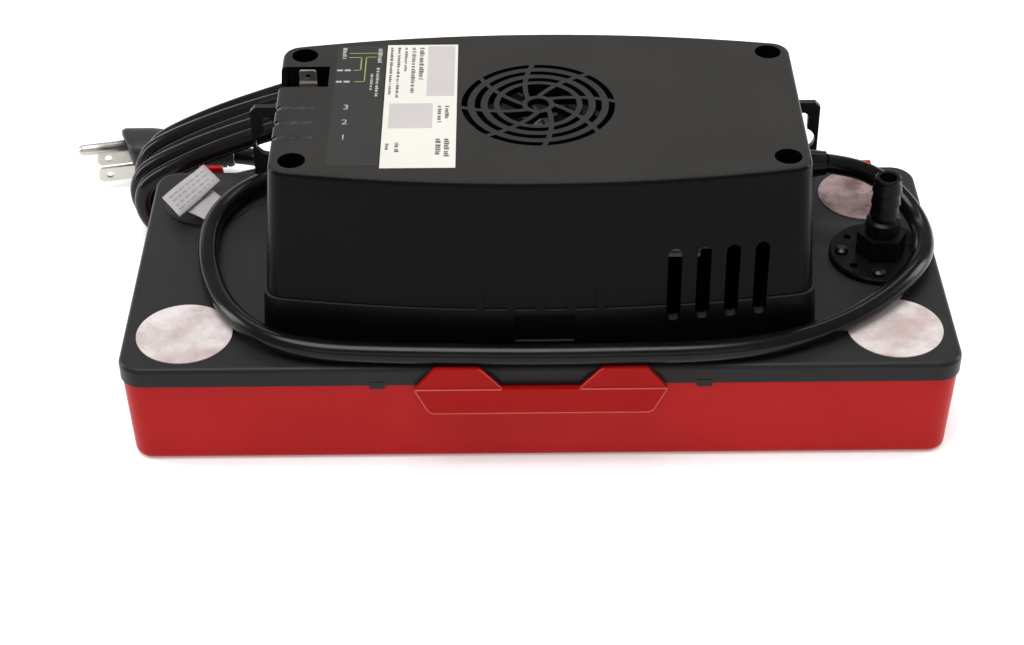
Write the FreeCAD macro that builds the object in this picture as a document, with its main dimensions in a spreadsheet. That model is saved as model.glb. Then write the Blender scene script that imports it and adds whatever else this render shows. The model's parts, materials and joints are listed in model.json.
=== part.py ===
"""Condensate pump: a red tank, a black cover with a motor housing, and a float that runs the pump.

Millimetres. X runs along the tank, Y from the front to the back, Z up.
The origin is under the middle of the tank, on the surface that it stands on.
"""
import FreeCAD
import Part
import Sketcher
import math
import os

Vector = FreeCAD.Vector

# How far a cutter or a root passes the face that it starts from
OVER = 1.0
CLEAR = 5.0

# The grille spokes' angles at the hub, at the petals' rim and past the last ring
SPOKE_CURL = (56, 19, 3)

# The share of a blade's lean that it has half way out
BLADE_CURL = 0.42

# The discharge flange's holes, in degrees; every other one takes a screw
FLANGE_HOLES = (100, 140, 180, 220, 260, 300)

SIZES = {
    # Cover
    "cover_length": 300.0,
    "cover_width": 128.0,
    "cover_top": 43.0,
    "cover_skirt": 7.5,
    "cover_corner": 9.0,
    "cover_edge": 2.0,
    "cover_wall": 2.3,
    "cover_plate": 2.0,
    "cover_lug_x": 58.0,
    "cover_lug_width": 5.5,
    "cover_lug_thick": 0.7,
    "cover_lug_proud": 0.2,
    "cover_lug_drop": 1.4,
    # Tank
    "tank_inset": 0.7,
    "tank_draft": 2.4,
    "tank_floor": 2.8,
    "tank_foot": 3.0,
    "tank_lip": 1.3,
    "lip_gap": 0.35,
    "skirt_gap": 0.3,
    # Catches
    "catch_gap": 0.4,
    "catch_thick": 2.0,
    "catch_top": 44.0,
    "latch_low": 24.3,
    "latch_low_half": 39.6,
    "latch_high_half": 44.8,
    "latch_ear_outer": 37.4,
    "latch_ear_inner": 21.6,
    "latch_ear_root": 13.6,
    "latch_root": 1.2,
    "latch_root_height": 3.0,
    "latch_rise": 0.2,
    "latch_root_margin": 2.0,
    "hook_end": 20.5,
    "hook_half": 6.5,
    "hook_low": 26.0,
    "hook_step": 8.0,
    "hook_chamfer": 2.0,
    "hook_root": 2.4,
    # Inlets
    "inlet_end": 22.2,
    "inlet_gap": 5.2,
    "inlet_bore": 14.3,
    "seal_disc": 17.3,
    "seal_thick": 0.4,
    # Housing
    "housing_top": 112.0,
    "housing_end": 51.4,
    "housing_foot_mid": 53.0,
    "housing_foot_bow": 9.0,
    "housing_end_lean": 5.1,
    "housing_side_lean": 2.0,
    "housing_top_bow": 9.0,
    "housing_corner": 7.0,
    "housing_edge": 2.0,
    "housing_wall": 2.4,
    "plinth_height": 17.0,
    "plinth_proud": 0.8,
    "wedge_pitch": 10.6,
    "wedge_width": 2.8,
    "wedge_height": 10.0,
    "wedge_count": 5,
    "wedge_root": 1.4,
    "wedge_tip": 0.1,
    "recess_left": -9.0,
    "recess_width": 21.0,
    "recess_rise": 3.7,
    "recess_height": 11.3,
    "recess_sink": 0.5,
    "vent_end": 51.7,
    "vent_count": 4,
    "vent_back": -40.0,
    "vent_pitch": 10.23,
    "vent_width": 5.0,
    "vent_low": 54.0,
    "vent_high": 83.5,
    "well_end": 13.2,
    "well_side": 17.5,
    "well_bore": 4.8,
    "well_wall": 1.8,
    "well_floor": 60.0,
    "well_floor_thick": 2.0,
    "boss_margin": 1.0,
    "housing_screw": 1.75,
    "screw_head": 3.6,
    "head_side": 1.6,
    "head_height": 2.6,
    "hole_room": 1.0,
    "fit": 0.1,
    "running_fit": 0.05,
    # Grille
    "grille_hub": 3.9,
    "petal_inner": 5.8,
    "petal_outer": 13.8,
    "ring_pitch": 4.7,
    "ring_first": 15.8,
    "ring_slot": 2.2,
    "spoke_width": 1.8,
    "spoke_count": 8,
    "spoke_past": 12.0,
    "ring_count": 3,
    # Indicators and terminals
    "lens_length": 14.3,
    "lens_width": 2.4,
    "lens_drop": 8.0,
    "lens_thick": 2.6,
    "lens_y": -11.1,
    "lens_pitch": 9.9,
    "lens_seat": 0.4,
    "lamp_end": 9.9,
    "lamp_radius": 2.5,
    "lamp_flange": 2.9,
    "lamp_dome": 1.5,
    "lamp_gap": 0.3,
    "board_height": 96.0,
    "board_thick": 1.6,
    "board_length": 30.0,
    "board_width": 33.66,
    "board_end": 2.5,
    "board_post_end": 27.5,
    "board_post_y": 13.365,
    "board_post_radius": 2.5,
    "pocket_length": 17.8,
    "pocket_width": 14.2,
    "pocket_gap": 0.1,
    "pocket_floor": 97.0,
    "pocket_base": 3.0,
    "pocket_wall": 1.4,
    "tray_gap": 0.4,
    "spade_end": 9.0,
    "spade_margin": 3.2,
    "spade_pitch": 7.8,
    "spade_hole": 0.9,
    "spade_hole_drop": 4.2,
    "spade_chamfer": 1.4,
    "spade_shoulder": 1.6,
    "spade_width": 6.35,
    "spade_thick": 0.8,
    "spade_top": 109.0,
    # Hanging tabs
    "tab_overlap": 3.6,
    "tab_width": 16.0,
    "tab_inset": 2.0,
    "tab_thick": 2.5,
    "tab_top": 75.0,
    "tab_chamfer": 2.0,
    "keyhole_from_edge": 9.5,
    "keyhole_height": 58.4,
    "keyhole_radius": 5.2,
    "keyhole_slot": 2.0,
    "keyhole_end": 68.5,
    # Discharge
    "outlet_end": 21.5,
    "outlet_y": 1.5,
    "outlet_flange": 19.0,
    "flange_thick": 2.6,
    "hex_flats": 16.0,
    "hex_top": 54.5,
    "barb_top": 78.5,
    "barb_radius": 4.8,
    "barb_lip": 5.5,
    "outlet_bore": 3.2,
    "valve_bore": 5.4,
    "valve_top": 58.0,
    "seat_height": 1.8,
    "seat_bore": 3.0,
    "ball_gap": 0.12,
    "ball_radius": 4.2,
    "flange_screw_ring": 14.5,
    "flange_hole": 1.5,
    "flange_screw": 1.3,
    "flange_head": 2.5,
    "flange_head_height": 1.8,
    "flange_chamfer": 0.6,
    "valve_wall": 2.2,
    "valve_floor": 1.0,
    "spigot_drop": 5.0,
    "spigot_margin": 0.6,
    "collar_margin": 0.9,
    "barb_first": 4.6,
    "barb_pitch": 5.2,
    "barb_length": 4.6,
    "barb_count": 3,
    # Motor
    "stack_low": 64.0,
    "stack_high": 82.0,
    "stack_left": 26.0,
    "stack_right": 58.0,
    "stack_half": 27.0,
    "window_left": 22.0,
    "window_right": 40.0,
    "window_half": 14.0,
    "rotor_radius": 15.0,
    "air_gap": 0.5,
    "rotor_over": 3.0,
    "coil_wall": 6.0,
    "shaft_radius": 2.5,
    "shaft_low": 8.5,
    "shaft_high": 105.0,
    "bushing_radius": 4.5,
    "bushing_length": 9.0,
    "bracket_width": 16.0,
    "bracket_thick": 2.5,
    "bracket_rise": 8.5,
    "bracket_screw_y": 22.0,
    "motor_screw": 2.0,
    "motor_head_height": 2.0,
    "motor_screw_grip": 10.0,
    "coil_gap": 0.3,
    "bracket_gap": 1.5,
    "bracket_step": 2.0,
    "boss_wall": 2.2,
    "post_x": 20.0,
    "post_far": 52.0,
    "post_radius": 4.0,
    "fan_radius": 29.0,
    "fan_low": 96.5,
    "fan_height": 7.0,
    "fan_blades": 8,
    "fan_hub": 6.0,
    "fan_sheet": 1.2,
    "fan_lean": 26.0,
    # Pump
    "pump_floor": 4.0,
    "pump_base": 2.4,
    "chamber_radius": 20.0,
    "chamber_top": 17.5,
    "pump_wall": 2.2,
    "neck_bore": 6.5,
    "pump_inlet": 7.0,
    "impeller_radius": 18.5,
    "impeller_low": 9.0,
    "impeller_vane": 4.6,
    "impeller_disc": 1.6,
    "impeller_vanes": 6,
    "impeller_hub": 5.0,
    "vane_thick": 1.5,
    "vane_lean": -38.0,
    "vane_sink": 0.4,
    "casing_flange": 2.4,
    "casing_inset": 2.0,
    "casing_screw": 1.3,
    "casing_head": 2.6,
    "casing_head_height": 2.0,
    "spout_length": 10.0,
    "strainer_feet": 6,
    "strainer_foot": 1.6,
    "strainer_inset": 3.0,
    "strainer_gap": 0.3,
    "pipe_height": 12.0,
    "pipe_radius": 4.8,
    "slinger_radius": 9.0,
    "slinger_rise": 4.0,
    "slinger_thick": 1.6,
    # Float and switches
    "float_x": -58.0,
    "float_length": 56.0,
    "float_width": 40.0,
    "float_low": 5.0,
    "float_height": 17.0,
    "float_corner": 6.0,
    "float_edge": 2.5,
    "stem_socket": 8.0,
    "stem_radius": 2.0,
    "stem_top": 60.0,
    "lever_reach": 22.0,
    "lever_thick": 1.6,
    "lever_width": 8.0,
    "lever_lift": 0.3,
    "lever_past": 6.0,
    "eye_wall": 1.8,
    "wing_gap": 1.0,
    "wing_thick": 2.0,
    "wing_past": 8.0,
    "wing_room": 4.0,
    "wing_foot": 6.0,
    "tie_length": 16.0,
    "pin_radius": 1.5,
    "switch_low": 71.6,
    "switch_length": 17.0,
    "switch_width": 4.4,
    "switch_height": 12.0,
    "switch_from_pin": 10.0,
    "plunger_radius": 1.5,
    "plunger_drop": 3.2,
    "plunger_length": 4.4,
    "plunger_bore": 6.0,
    "switch_shift": 4.0,
    # Cord
    "cord_radius": 3.8,
    "gland_y": 30.5,
    "gland_height": 66.0,
    "gland_radius": 5.6,
    "gland_collar": 7.0,
    "gland_length": 11.4,
    "gland_inside": 2.3,
    "gland_lock": 1.4,
    "gland_lip": 1.0,
    "gland_stand": 0.6,
    "gland_disc": 2.0,
    "plug_x": -158.0,
    "plug_y": 125.5,
    "plug_height": 10.8,
    "plug_length": 34.0,
    "plug_width": 22.0,
    "plug_thick": 21.0,
    "plug_block": 20.4,
    "plug_shoulder": 9.0,
    "plug_neck": 6.0,
    "sleeve_end": 4.8,
    "sleeve_length": 15.0,
    "blade_length": 17.0,
    "blade_width": 6.35,
    "blade_thick": 1.5,
    "blade_pitch": 12.7,
    "earth_radius": 2.4,
    "earth_past": 3.0,
    "earth_drop": 6.2,
    "hank_x": -146.0,
    "hank_height": 18.5,
    "hank_length": 74.0,
    "hank_tilt": 18.0,
    "hank_left_bend": 14.0,
    "hank_right_bend": 17.0,
    "hank_band": 4.2,
    "hank_front": 68.3,
    "hank_depth": 44.9,
}


def number(value):
    """The plain number of a size or of a bare number."""
    return value.value if isinstance(value, Size) else float(value)


def text(value):
    """The spreadsheet expression of a size or of a bare number."""
    return value.text if isinstance(value, Size) else repr(float(value))


class Size:
    """A number that remembers the spreadsheet expression it comes from."""

    def __init__(self, value, expression):
        self.value = float(value)
        self.text = expression

    def __add__(self, other):
        return Size(self.value + number(other), f"({self.text} + {text(other)})")

    def __radd__(self, other):
        return Size(number(other) + self.value, f"({text(other)} + {self.text})")

    def __sub__(self, other):
        return Size(self.value - number(other), f"({self.text} - {text(other)})")

    def __rsub__(self, other):
        return Size(number(other) - self.value, f"({text(other)} - {self.text})")

    def __mul__(self, other):
        return Size(self.value * number(other), f"({self.text} * {text(other)})")

    def __rmul__(self, other):
        return Size(number(other) * self.value, f"({text(other)} * {self.text})")

    def __truediv__(self, other):
        return Size(self.value / number(other), f"({self.text} / {text(other)})")

    def __neg__(self):
        return Size(-self.value, f"(-1 * {self.text})")


class Named:
    """Gives each size of the sheet as an attribute."""

    def __init__(self, sizes):
        for alias, value in sizes.items():
            setattr(self, alias, Size(value, f"Sizes.{alias}"))


doc = FreeCAD.newDocument("CondensatePump")
s = Named(SIZES)
nodes = {}

# Places that follow from the sizes
s.cover_half = s.cover_length / 2
s.cover_side = s.cover_width / 2
s.hook_x = s.cover_half - s.hook_end
s.outlet_x = s.cover_half - s.outlet_end
s.inlet_x = s.cover_half - s.inlet_end
s.inlet_y = s.outlet_y + s.outlet_flange + s.inlet_gap + s.seal_disc
s.housing_foot_half = s.cover_half - s.housing_end
s.housing_top_half = s.housing_foot_half - s.housing_end_lean
s.housing_top_mid = s.housing_foot_mid - s.housing_side_lean
s.well_x = s.housing_foot_half - s.well_end
s.well_y = s.housing_foot_mid - s.well_side
s.well_low = s.well_floor - s.well_floor_thick
s.pocket_back = s.well_y - s.well_bore - s.well_wall - s.pocket_gap - s.pocket_wall
s.pocket_front = s.pocket_back - s.pocket_width
s.pocket_end = s.housing_top_half - s.pocket_length
s.spade_x = s.housing_top_half - s.spade_end
s.tab_front = s.cover_side - s.tab_inset - s.tab_thick
s.tab_inner = s.housing_foot_half - s.tab_overlap
s.tab_outer = s.tab_inner + s.tab_width
s.keyhole_x = s.tab_inner + s.keyhole_from_edge


def fill_sheet():
    """Write the driving sizes to the spreadsheet."""
    sheet = doc.addObject("Spreadsheet::Sheet", "Sizes")
    for row, (alias, value) in enumerate(SIZES.items(), 1):
        sheet.set(f"A{row}", alias)
        sheet.set(f"B{row}", str(value))
        sheet.setAlias(f"B{row}", alias)
    doc.recompute()


def node(name, *shapes):
    """Name the finished sub-part; several pieces become one group of separate solids."""
    part = shapes[0]
    if len(shapes) > 1:
        part = doc.addObject("Part::Compound", name)
        part.Links = list(shapes)
    part.Label = name
    nodes[name] = part
    return part


def place(part, x=0, y=0, z=0):
    """Bind where a part stands."""
    for axis, value in zip("xyz", (x, y, z)):
        part.setExpression(f"Placement.Base.{axis}", text(value))
    return part


AXIS_TURN = {
    "Z": FreeCAD.Rotation(),
    "X": FreeCAD.Rotation(Vector(0, 1, 0), 90),
    "Y": FreeCAD.Rotation(Vector(1, 0, 0), -90),
}


def block(name, x, y, z, length, width, height):
    """A box from its lowest corner."""
    part = doc.addObject("Part::Box", name)
    part.setExpression("Length", text(length))
    part.setExpression("Width", text(width))
    part.setExpression("Height", text(height))
    return place(part, x, y, z)


def slab(name, x, y, z, length, width, height):
    """A box centred in plan, standing on z."""
    return block(name, x - length / 2, y - width / 2, z, length, width, height)


def rod(name, radius, x, y, z, height, along="Z"):
    """A cylinder that starts at a point and runs along an axis."""
    part = doc.addObject("Part::Cylinder", name)
    part.Placement = FreeCAD.Placement(Vector(), AXIS_TURN[along])
    part.setExpression("Radius", text(radius))
    part.setExpression("Height", text(height))
    return place(part, x, y, z)


def cone(name, radius1, radius2, x, y, z, height, along="Z"):
    """A truncated cone that starts at a point and runs along an axis."""
    part = doc.addObject("Part::Cone", name)
    part.Placement = FreeCAD.Placement(Vector(), AXIS_TURN[along])
    part.setExpression("Radius1", text(radius1))
    part.setExpression("Radius2", text(radius2))
    part.setExpression("Height", text(height))
    return place(part, x, y, z)


def ball(name, radius, x, y, z):
    """A sphere round a point."""
    part = doc.addObject("Part::Sphere", name)
    part.setExpression("Radius", text(radius))
    return place(part, x, y, z)


def join(name, *shapes):
    """One solid out of several."""
    part = doc.addObject("Part::MultiFuse", name)
    part.Shapes = list(shapes)
    part.Refine = True
    return part


def cut(name, base, *tools):
    """A base with tools taken out of it."""
    part = doc.addObject("Part::Cut", name)
    part.Base = base
    part.Tool = tools[0] if len(tools) == 1 else join(f"{name}_tools", *tools)
    return part


def ring(name, outer, inner, x, y, z, height, along="Z"):
    """A tube or washer."""
    return cut(name, rod(f"{name}_outer", outer, x, y, z, height, along),
               rod(f"{name}_bore", inner, x, y, z, height, along))


def new_body(name):
    """An empty body."""
    return doc.addObject("PartDesign::Body", name)


def new_sketch(body, name, plane, offset=0):
    """An empty sketch on one of the body's origin planes, shifted along its normal."""
    sketch = body.newObject("Sketcher::SketchObject", name)
    support = next(f for f in body.Origin.OriginFeatures if f.Role == plane)
    sketch.AttachmentSupport = [(support, "")]
    sketch.MapMode = "FlatFace"
    sketch.setExpression("AttachmentOffset.Base.z", text(offset))
    return sketch


def bind(sketch, label, constraint, value):
    """Add a named constraint whose value follows a size."""
    index = sketch.addConstraint(constraint)
    sketch.renameConstraint(index, label)
    sketch.setExpression(f"Constraints.{label}", text(value))


def polygon(sketch, points):
    """A closed outline whose corners follow the sizes."""
    corners = [Vector(number(x), number(y), 0) for x, y in points]
    count = len(corners)
    for index in range(count):
        sketch.addGeometry(Part.LineSegment(corners[index], corners[(index + 1) % count]), False)
    for index in range(count):
        sketch.addConstraint(Sketcher.Constraint("Coincident", index, 2, (index + 1) % count, 1))
    for index, (x, y) in enumerate(points):
        across = Sketcher.Constraint("DistanceX", -1, 1, index, 1, number(x))
        upward = Sketcher.Constraint("DistanceY", -1, 1, index, 1, number(y))
        bind(sketch, f"x{index}", across, x)
        bind(sketch, f"y{index}", upward, y)


def rounded_rectangle(sketch, length, width, corner):
    """A rectangle with round corners, centred on the sketch's origin."""
    half_x = number(length) / 2
    half_y = number(width) / 2
    r = number(corner)
    straight = [((-half_x + r, -half_y), (half_x - r, -half_y)), ((half_x, -half_y + r), (half_x, half_y - r)),
                ((half_x - r, half_y), (-half_x + r, half_y)), ((-half_x, half_y - r), (-half_x, -half_y + r))]
    centres = [(half_x - r, -half_y + r), (half_x - r, half_y - r), (-half_x + r, half_y - r),
               (-half_x + r, -half_y + r)]
    for start, end in straight:
        sketch.addGeometry(Part.LineSegment(Vector(*start, 0), Vector(*end, 0)), False)
    for index, (x, y) in enumerate(centres):
        circle = Part.Circle(Vector(x, y, 0), Vector(0, 0, 1), r)
        start = (index - 1) * math.pi / 2
        sketch.addGeometry(Part.ArcOfCircle(circle, start, start + math.pi / 2), False)
    for index in range(4):
        sketch.addConstraint(Sketcher.Constraint("Tangent", index, 2, index + 4, 1))
        sketch.addConstraint(Sketcher.Constraint("Tangent", index + 4, 2, (index + 1) % 4, 1))
    for index in (0, 2):
        sketch.addConstraint(Sketcher.Constraint("Horizontal", index))
    for index in (1, 3):
        sketch.addConstraint(Sketcher.Constraint("Vertical", index))
    for index in (5, 6, 7):
        sketch.addConstraint(Sketcher.Constraint("Equal", 4, index))
    sketch.addConstraint(Sketcher.Constraint("Symmetric", 4, 3, 6, 3, -1, 1))
    bind(sketch, "corner", Sketcher.Constraint("Radius", 4, r), corner)
    bind(sketch, "across", Sketcher.Constraint("DistanceX", 3, 1, 1, 1, 2 * half_x), length)
    bind(sketch, "deep", Sketcher.Constraint("DistanceY", 0, 1, 2, 1, 2 * half_y), width)


def bowed_outline(sketch, half_length, mid_half, bow, corner):
    """Straight short sides, long sides that bow outwards, and round corners."""
    radius = (half_length * half_length + bow * bow) / (2 * bow)
    centre = mid_half - radius
    big, low, r = number(radius), number(centre), number(corner)
    side = number(half_length)
    rise = low + math.sqrt((big - r) ** 2 - (side - r) ** 2)
    slope = math.atan2(rise - low, side - r)
    quarter = math.pi / 2

    def arc(x, y, size, start, end):
        circle = Part.Circle(Vector(x, y, 0), Vector(0, 0, 1), size)
        sketch.addGeometry(Part.ArcOfCircle(circle, start, end), False)

    sketch.addGeometry(Part.LineSegment(Vector(side, -rise, 0), Vector(side, rise, 0)), False)
    arc(side - r, rise, r, 0, slope)
    arc(0, low, big, slope, 2 * quarter - slope)
    arc(r - side, rise, r, 2 * quarter - slope, 2 * quarter)
    sketch.addGeometry(Part.LineSegment(Vector(-side, rise, 0), Vector(-side, -rise, 0)), False)
    arc(r - side, -rise, r, 2 * quarter, 2 * quarter + slope)
    arc(0, -low, big, 2 * quarter + slope, 4 * quarter - slope)
    arc(side - r, -rise, r, 4 * quarter - slope, 4 * quarter)
    for index in range(8):
        sketch.addConstraint(Sketcher.Constraint("Tangent", index, 2, (index + 1) % 8, 1))
    sketch.addConstraint(Sketcher.Constraint("Vertical", 0))
    sketch.addConstraint(Sketcher.Constraint("Vertical", 4))
    for index in (3, 5, 7):
        sketch.addConstraint(Sketcher.Constraint("Equal", 1, index))
    bind(sketch, "corner", Sketcher.Constraint("Radius", 1, r), corner)
    for label, index, sign in (("back", 2, 1), ("front", 6, -1)):
        bind(sketch, f"{label}_radius", Sketcher.Constraint("Radius", index, big), radius)
        sketch.addConstraint(Sketcher.Constraint("PointOnObject", index, 3, -2))
        reach = Sketcher.Constraint("DistanceY", -1, 1, index, 3, sign * low)
        bind(sketch, f"{label}_centre", reach, sign * centre)
    bind(sketch, "right", Sketcher.Constraint("DistanceX", -1, 1, 0, 1, side), half_length)
    bind(sketch, "left", Sketcher.Constraint("DistanceX", 4, 1, -1, 1, side), half_length)


def pad(body, sketch, name, height, taper=None, downward=False):
    """Raise a sketch into a solid."""
    feature = body.newObject("PartDesign::Pad", name)
    feature.Profile = sketch
    feature.Reversed = downward
    feature.setExpression("Length", text(height))
    if taper is not None:
        feature.setExpression("TaperAngle", text(taper))
    return feature


def pocket(body, sketch, name, depth, taper=None, upward=False):
    """Sink a sketch into the solid."""
    feature = body.newObject("PartDesign::Pocket", name)
    feature.Profile = sketch
    feature.Reversed = upward
    feature.setExpression("Length", text(depth))
    if taper is not None:
        feature.setExpression("TaperAngle", text(taper))
    return feature


def loft(body, kind, name, high, low):
    """A straight-sided loft from an upper sketch down to a lower one."""
    feature = body.newObject(f"PartDesign::{kind}Loft", name)
    feature.Profile = high
    feature.Sections = [low]
    feature.Ruled = True
    return feature


def soften(body, feature, name, radius, wanted):
    """Round the edges of a feature that a test picks."""
    doc.recompute()
    picked = [f"Edge{i}" for i, edge in enumerate(feature.Shape.Edges, 1) if wanted(edge)]
    rounded = body.newObject("PartDesign::Fillet", name)
    rounded.Base = (feature, picked)
    rounded.setExpression("Radius", text(radius))
    return rounded


def level_edges(height):
    """A test for the edges that lie at a height."""
    level = number(height)

    def wanted(edge):
        box = edge.BoundBox
        return abs(box.ZMin - level) < 0.01 and abs(box.ZMax - level) < 0.01

    return wanted


def prism(name, plane, points, start, thickness):
    """An outline in an upright plane, made thick along +X (from YZ) or +Y (from XZ)."""
    body = new_body(name)
    flip = plane == "XZ_Plane"
    sketch = new_sketch(body, f"{name}_outline", plane, -start if flip else start)
    polygon(sketch, points)
    pad(body, sketch, f"{name}_pad", thickness, downward=flip)
    return body


def plate(name, points, z, thickness):
    """A flat outline made thick upwards."""
    body = new_body(name)
    sketch = new_sketch(body, f"{name}_outline", "XY_Plane", z)
    polygon(sketch, points)
    pad(body, sketch, f"{name}_pad", thickness)
    return body


def lathe(name, points, x=0, y=0):
    """A half section, given as radius and height, turned about an upright axis."""
    body = new_body(name)
    sketch = new_sketch(body, f"{name}_section", "XZ_Plane")
    polygon(sketch, points)
    turned = body.newObject("PartDesign::Revolution", f"{name}_turned")
    turned.Profile = sketch
    turned.ReferenceAxis = (sketch, ["V_Axis"])
    turned.Angle = 360
    return place(body, x, y, 0)


def corners(x, y):
    """The four places that mirror one point in both ways."""
    return [(x * a, y * b) for a in (-1, 1) for b in (-1, 1)]


def computed(name, shape):
    """A shape worked out from the sizes by its own function."""
    part = doc.addObject("Part::Feature", name)
    part.Shape = shape
    return part


def build_tank():
    """The open tray that collects the water, with the two hooks that hold the cover's back edge."""
    shoulder = s.cover_top - s.cover_skirt - s.skirt_gap
    rim = s.cover_top - s.cover_plate
    lip_inset = s.cover_wall + s.lip_gap
    body = new_body("tank_tray")
    outline = new_sketch(body, "tank_outline", "XY_Plane", shoulder)
    rounded_rectangle(outline, s.cover_length - 2 * s.tank_inset, s.cover_width - 2 * s.tank_inset,
                      s.cover_corner - s.tank_inset)
    shell = pad(body, outline, "tank_block", shoulder, -s.tank_draft, downward=True)
    soften(body, shell, "tank_foot", s.tank_foot, level_edges(0))
    lip = new_sketch(body, "lip_outline", "XY_Plane", shoulder)
    rounded_rectangle(lip, s.cover_length - 2 * lip_inset, s.cover_width - 2 * lip_inset,
                      s.cover_corner - lip_inset)
    pad(body, lip, "tank_lip", rim - shoulder)
    inside = new_sketch(body, "inside_outline", "XY_Plane", rim)
    inset = lip_inset + s.tank_lip
    rounded_rectangle(inside, s.cover_length - 2 * inset, s.cover_width - 2 * inset, s.cover_corner - inset)
    pocket(body, inside, "tank_inside", rim - s.tank_floor, -s.tank_draft)
    face = s.cover_side + s.catch_gap
    hooks = []
    for side, sign in (("left", -1), ("right", 1)):
        x = sign * s.hook_x
        outline = [(x - s.hook_half, s.hook_low), (x + s.hook_half, s.hook_low),
                   (x + s.hook_half, s.hook_low + s.hook_step), (x + s.hook_half - s.hook_chamfer, s.catch_top),
                   (x - s.hook_half + s.hook_chamfer, s.catch_top), (x - s.hook_half, s.hook_low + s.hook_step)]
        hooks.append(prism(f"hook_{side}", "XZ_Plane", outline, face, s.catch_thick))
        hooks.append(slab(f"hook_root_{side}", x, face - OVER, s.hook_low, 2 * s.hook_half, s.hook_root,
                          s.hook_step))
    node("tank", join("tank_whole", body, *hooks))


def build_latch():
    """The front latch: a six-sided bar with two ears that grip the cover's front edge."""
    base = s.cover_top - s.cover_skirt + s.latch_rise
    right = [(s.latch_high_half, base), (s.latch_ear_outer, s.catch_top), (s.latch_ear_inner, s.catch_top),
             (s.latch_ear_root, base)]
    left = [(-x, z) for x, z in reversed(right)]
    outline = [(-s.latch_low_half, s.latch_low), (s.latch_low_half, s.latch_low)] + right + left
    front = -(s.cover_side + s.catch_gap + s.catch_thick)
    bar = prism("latch_plate", "XZ_Plane", outline, front, s.catch_thick)
    root_y = front + s.catch_thick + s.latch_root / 2
    root_width = 2 * (s.latch_low_half - s.latch_root_margin)
    root = slab("latch_root", 0, root_y, s.latch_low, root_width, s.latch_root, s.latch_root_height)
    node("front_latch", join("latch_whole", bar, root))


def keyhole_tab(side, sign):
    """A hanging tab with a keyhole, standing at the back of the cover."""
    low = s.cover_top - s.cover_plate / 2
    near = sign * s.tab_inner
    far = sign * s.tab_outer
    tip = sign * (s.tab_outer - s.tab_chamfer)
    outline = [(near, low), (far, low), (far, s.tab_top - s.tab_chamfer), (tip, s.tab_top), (near, s.tab_top)]
    if sign < 0:
        outline = list(reversed(outline))
    tab = prism(f"tab_{side}", "XZ_Plane", outline, s.tab_front, s.tab_thick)
    x = sign * s.keyhole_x
    back = s.tab_front - OVER
    through = s.tab_thick + 2 * OVER
    eye = rod(f"eye_{side}", s.keyhole_radius, x, back, s.keyhole_height, through, "Y")
    neck = block(f"neck_{side}", x - s.keyhole_slot, back, s.keyhole_height, 2 * s.keyhole_slot, through,
                 s.keyhole_end - s.keyhole_height)
    crown = rod(f"crown_{side}", s.keyhole_slot, x, back, s.keyhole_end, through, "Y")
    return cut(f"keyhole_tab_{side}", tab, eye, neck, crown)


def build_cover():
    """The cover that carries the motor, the pump and the switches."""
    skirt_low = s.cover_top - s.cover_skirt
    body = new_body("cover_shell")
    outline = new_sketch(body, "cover_outline", "XY_Plane", skirt_low)
    rounded_rectangle(outline, s.cover_length, s.cover_width, s.cover_corner)
    top = pad(body, outline, "cover_block", s.cover_skirt)
    soften(body, top, "cover_round", s.cover_edge, level_edges(s.cover_top))
    hollow = new_sketch(body, "cover_hollow", "XY_Plane", skirt_low)
    rounded_rectangle(hollow, s.cover_length - 2 * s.cover_wall, s.cover_width - 2 * s.cover_wall,
                      s.cover_corner - s.cover_wall)
    pocket(body, hollow, "cover_underside", s.cover_skirt - s.cover_plate, upward=True)
    parts = [body, keyhole_tab("left", -1), keyhole_tab("right", 1)]
    for index, (x, y) in enumerate(corners(s.well_x, s.well_y)):
        parts.append(rod(f"cover_boss_{index}", s.well_bore + s.boss_margin, x, y, s.cover_top - OVER,
                         s.well_low - s.cover_top + OVER))
    for side in (-1, 1):
        lug_y = s.cover_lug_thick / 2 - s.cover_side - s.cover_lug_proud
        parts.append(slab(f"cover_lug_{side + 1}", side * s.cover_lug_x, lug_y, skirt_low - s.cover_lug_drop,
                          s.cover_lug_width, s.cover_lug_thick, 2 * s.cover_lug_drop))
    under = s.cover_top - s.cover_plate - OVER
    through = s.cover_plate + 2 * OVER
    holes = [rod(f"inlet_{i}", s.inlet_bore, x, y, under, through)
             for i, (x, y) in enumerate(corners(s.inlet_x, s.inlet_y))]
    holes += [rod(f"screw_bore_{i}", s.housing_screw + s.fit, x, y, under, s.well_low - under + OVER)
              for i, (x, y) in enumerate(corners(s.well_x, s.well_y))]
    holes.append(rod("shaft_hole", s.neck_bore, 0, 0, under, through))
    holes.append(rod("stem_hole", s.stem_radius + s.hole_room, s.float_x, 0, under, through))
    holes.append(rod("spigot_hole", s.barb_lip + s.hole_room, s.outlet_x, s.outlet_y, under, through))
    node("tank_cover", cut("cover_whole", join("cover_fused", *parts), *holes))
    seals = [rod(f"seal_{i}", s.seal_disc, x, y, s.cover_top, s.seal_thick)
             for i, (x, y) in enumerate(corners(s.inlet_x, s.inlet_y))]
    node("inlet_seals", *seals)


def curved_band(stations, half):
    """A narrow flat band along an arc through three stations, each a radius and an angle."""
    middle = [Vector(r * math.cos(math.radians(a)), r * math.sin(math.radians(a)), 0) for r, a in stations]
    centre = Part.Arc(*middle).toShape().Curve.Center
    inner = [centre + (p - centre) * (1 - half / (p - centre).Length) for p in middle]
    outer = [centre + (p - centre) * (1 + half / (p - centre).Length) for p in middle]
    edges = [Part.Arc(*inner).toShape(), Part.LineSegment(inner[2], outer[2]).toShape(),
             Part.Arc(*reversed(outer)).toShape(), Part.LineSegment(outer[0], inner[0]).toShape()]
    return Part.Face(Part.Wire(edges))


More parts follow.
